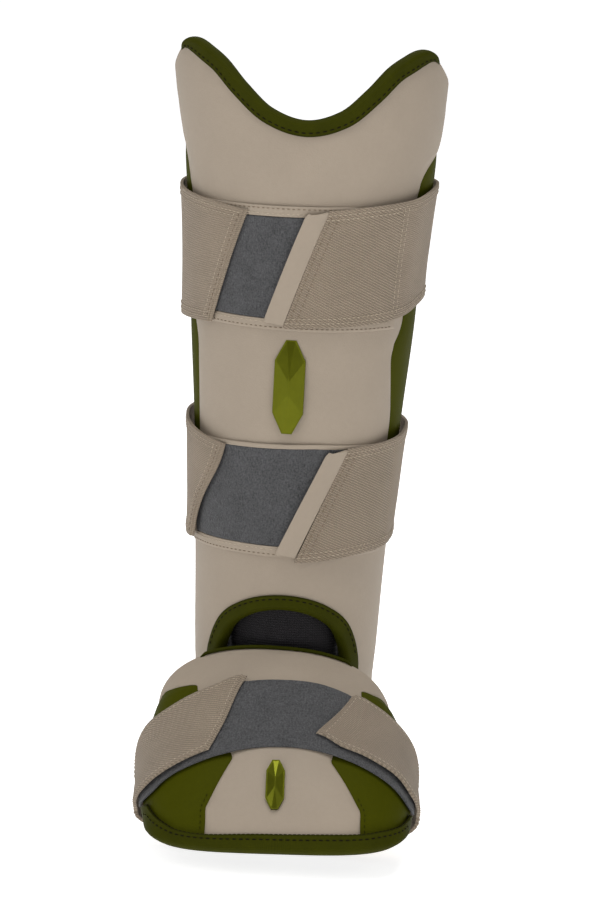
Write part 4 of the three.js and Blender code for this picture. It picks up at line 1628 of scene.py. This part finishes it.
# Floor and surrounding light, in metres and watts
FLOOR_SIZE = 12
FLOOR_HEIGHT = -0.0775
FLOOR_GLOW = 0.76
SURROUND = 0.30

# Softboxes: place, aim and size in metres, and watts
SOFTBOXES = dict(
    key_softbox=((-1.2, -1.5, 1.3), (0, 0, 0.12), (0.9, 1.3), 8.5),
    fill_softbox=((1.4, -1.4, 0.9), (0, 0, 0.1), (1.0, 1.4), 3.5),
    top_softbox=((0, -0.5, 1.9), (0, -0.08, 0), (1.2, 1.0), 20),
    back_softbox=((0.2, 1.8, 1.6), (0, 0, 0.12), (1.6, 1.0), 6),
)

# Camera: rise, turn and lean in degrees, aim, shift and distance in metres, focus in pixels of the picture
CAMERA_RISE = 11
CAMERA_TURN = 2
CAMERA_LEAN = 3.1
CAMERA_AIM = (0, -0.030, 0.115)
CAMERA_RIGHT = 0.00294
CAMERA_DOWN = 0.00392
CAMERA_DISTANCE = 2.2
CAMERA_FOCUS = 4490
PICTURE_HEIGHT = 900
SENSOR = 36


def studio():
    scene = bpy.context.scene
    bpy.ops.object.select_all(action="DESELECT")
    bpy.ops.mesh.primitive_plane_add(size=FLOOR_SIZE, location=(0, 0, FLOOR_HEIGHT))
    floor = bpy.context.object
    floor.name = "studio_floor"
    pale = Finish("pale_floor", Specular_IOR_Level=0.1, Emission_Strength=FLOOR_GLOW)
    pale.shader.inputs["Emission Color"].default_value = (1, 1, 1, 1)
    soft = pale.mottle(400, 2)
    pale.done(pale.shade(soft, (0.93, 0.93, 0.93), (0.95, 0.95, 0.95)), 0.9, soft, 0.01)
    floor.data.materials.append(pale.material)

    world = bpy.data.worlds.new("studio_light")
    scene.world = world
    world.use_nodes = True
    background = world.node_tree.nodes["Background"]
    background.inputs["Color"].default_value = (1, 1, 1, 1)
    background.inputs["Strength"].default_value = SURROUND

    for name, (place, aim, size, watts) in SOFTBOXES.items():
        lamp = bpy.data.lights.new(name, "AREA")
        lamp.shape = "RECTANGLE"
        lamp.size, lamp.size_y = size
        lamp.energy = watts
        holder = bpy.data.objects.new(name, lamp)
        scene.collection.objects.link(holder)
        holder.location = place
        holder.rotation_euler = (Vector(aim) - Vector(place)).to_track_quat("-Z", "Y").to_euler()

    lens = bpy.data.cameras.new("camera")
    lens.sensor_width = SENSOR
    lens.lens = CAMERA_FOCUS * SENSOR / PICTURE_HEIGHT
    lens.clip_start = 0.05
    lens.clip_end = 60
    camera = bpy.data.objects.new("camera", lens)
    scene.collection.objects.link(camera)
    rise = math.radians(CAMERA_RISE)
    turn = math.radians(CAMERA_TURN)
    lean = math.radians(CAMERA_LEAN)
    back = Vector((math.sin(turn) * math.cos(rise), -math.cos(turn) * math.cos(rise), math.sin(rise)))
    right = Vector((math.cos(turn), math.sin(turn), 0))
    up = back.cross(right)
    leaned_right = right * math.cos(lean) + up * math.sin(lean)
    leaned_up = up * math.cos(lean) - right * math.sin(lean)
    aim = Vector(CAMERA_AIM) + leaned_right * CAMERA_RIGHT - leaned_up * CAMERA_DOWN
    turned = Matrix((leaned_right, leaned_up, back)).transposed().to_4x4()
    camera.matrix_world = Matrix.Translation(aim + back * CAMERA_DISTANCE) @ turned
    scene.camera = camera
    scene.view_settings.view_transform = "Standard"


guard()
studio()
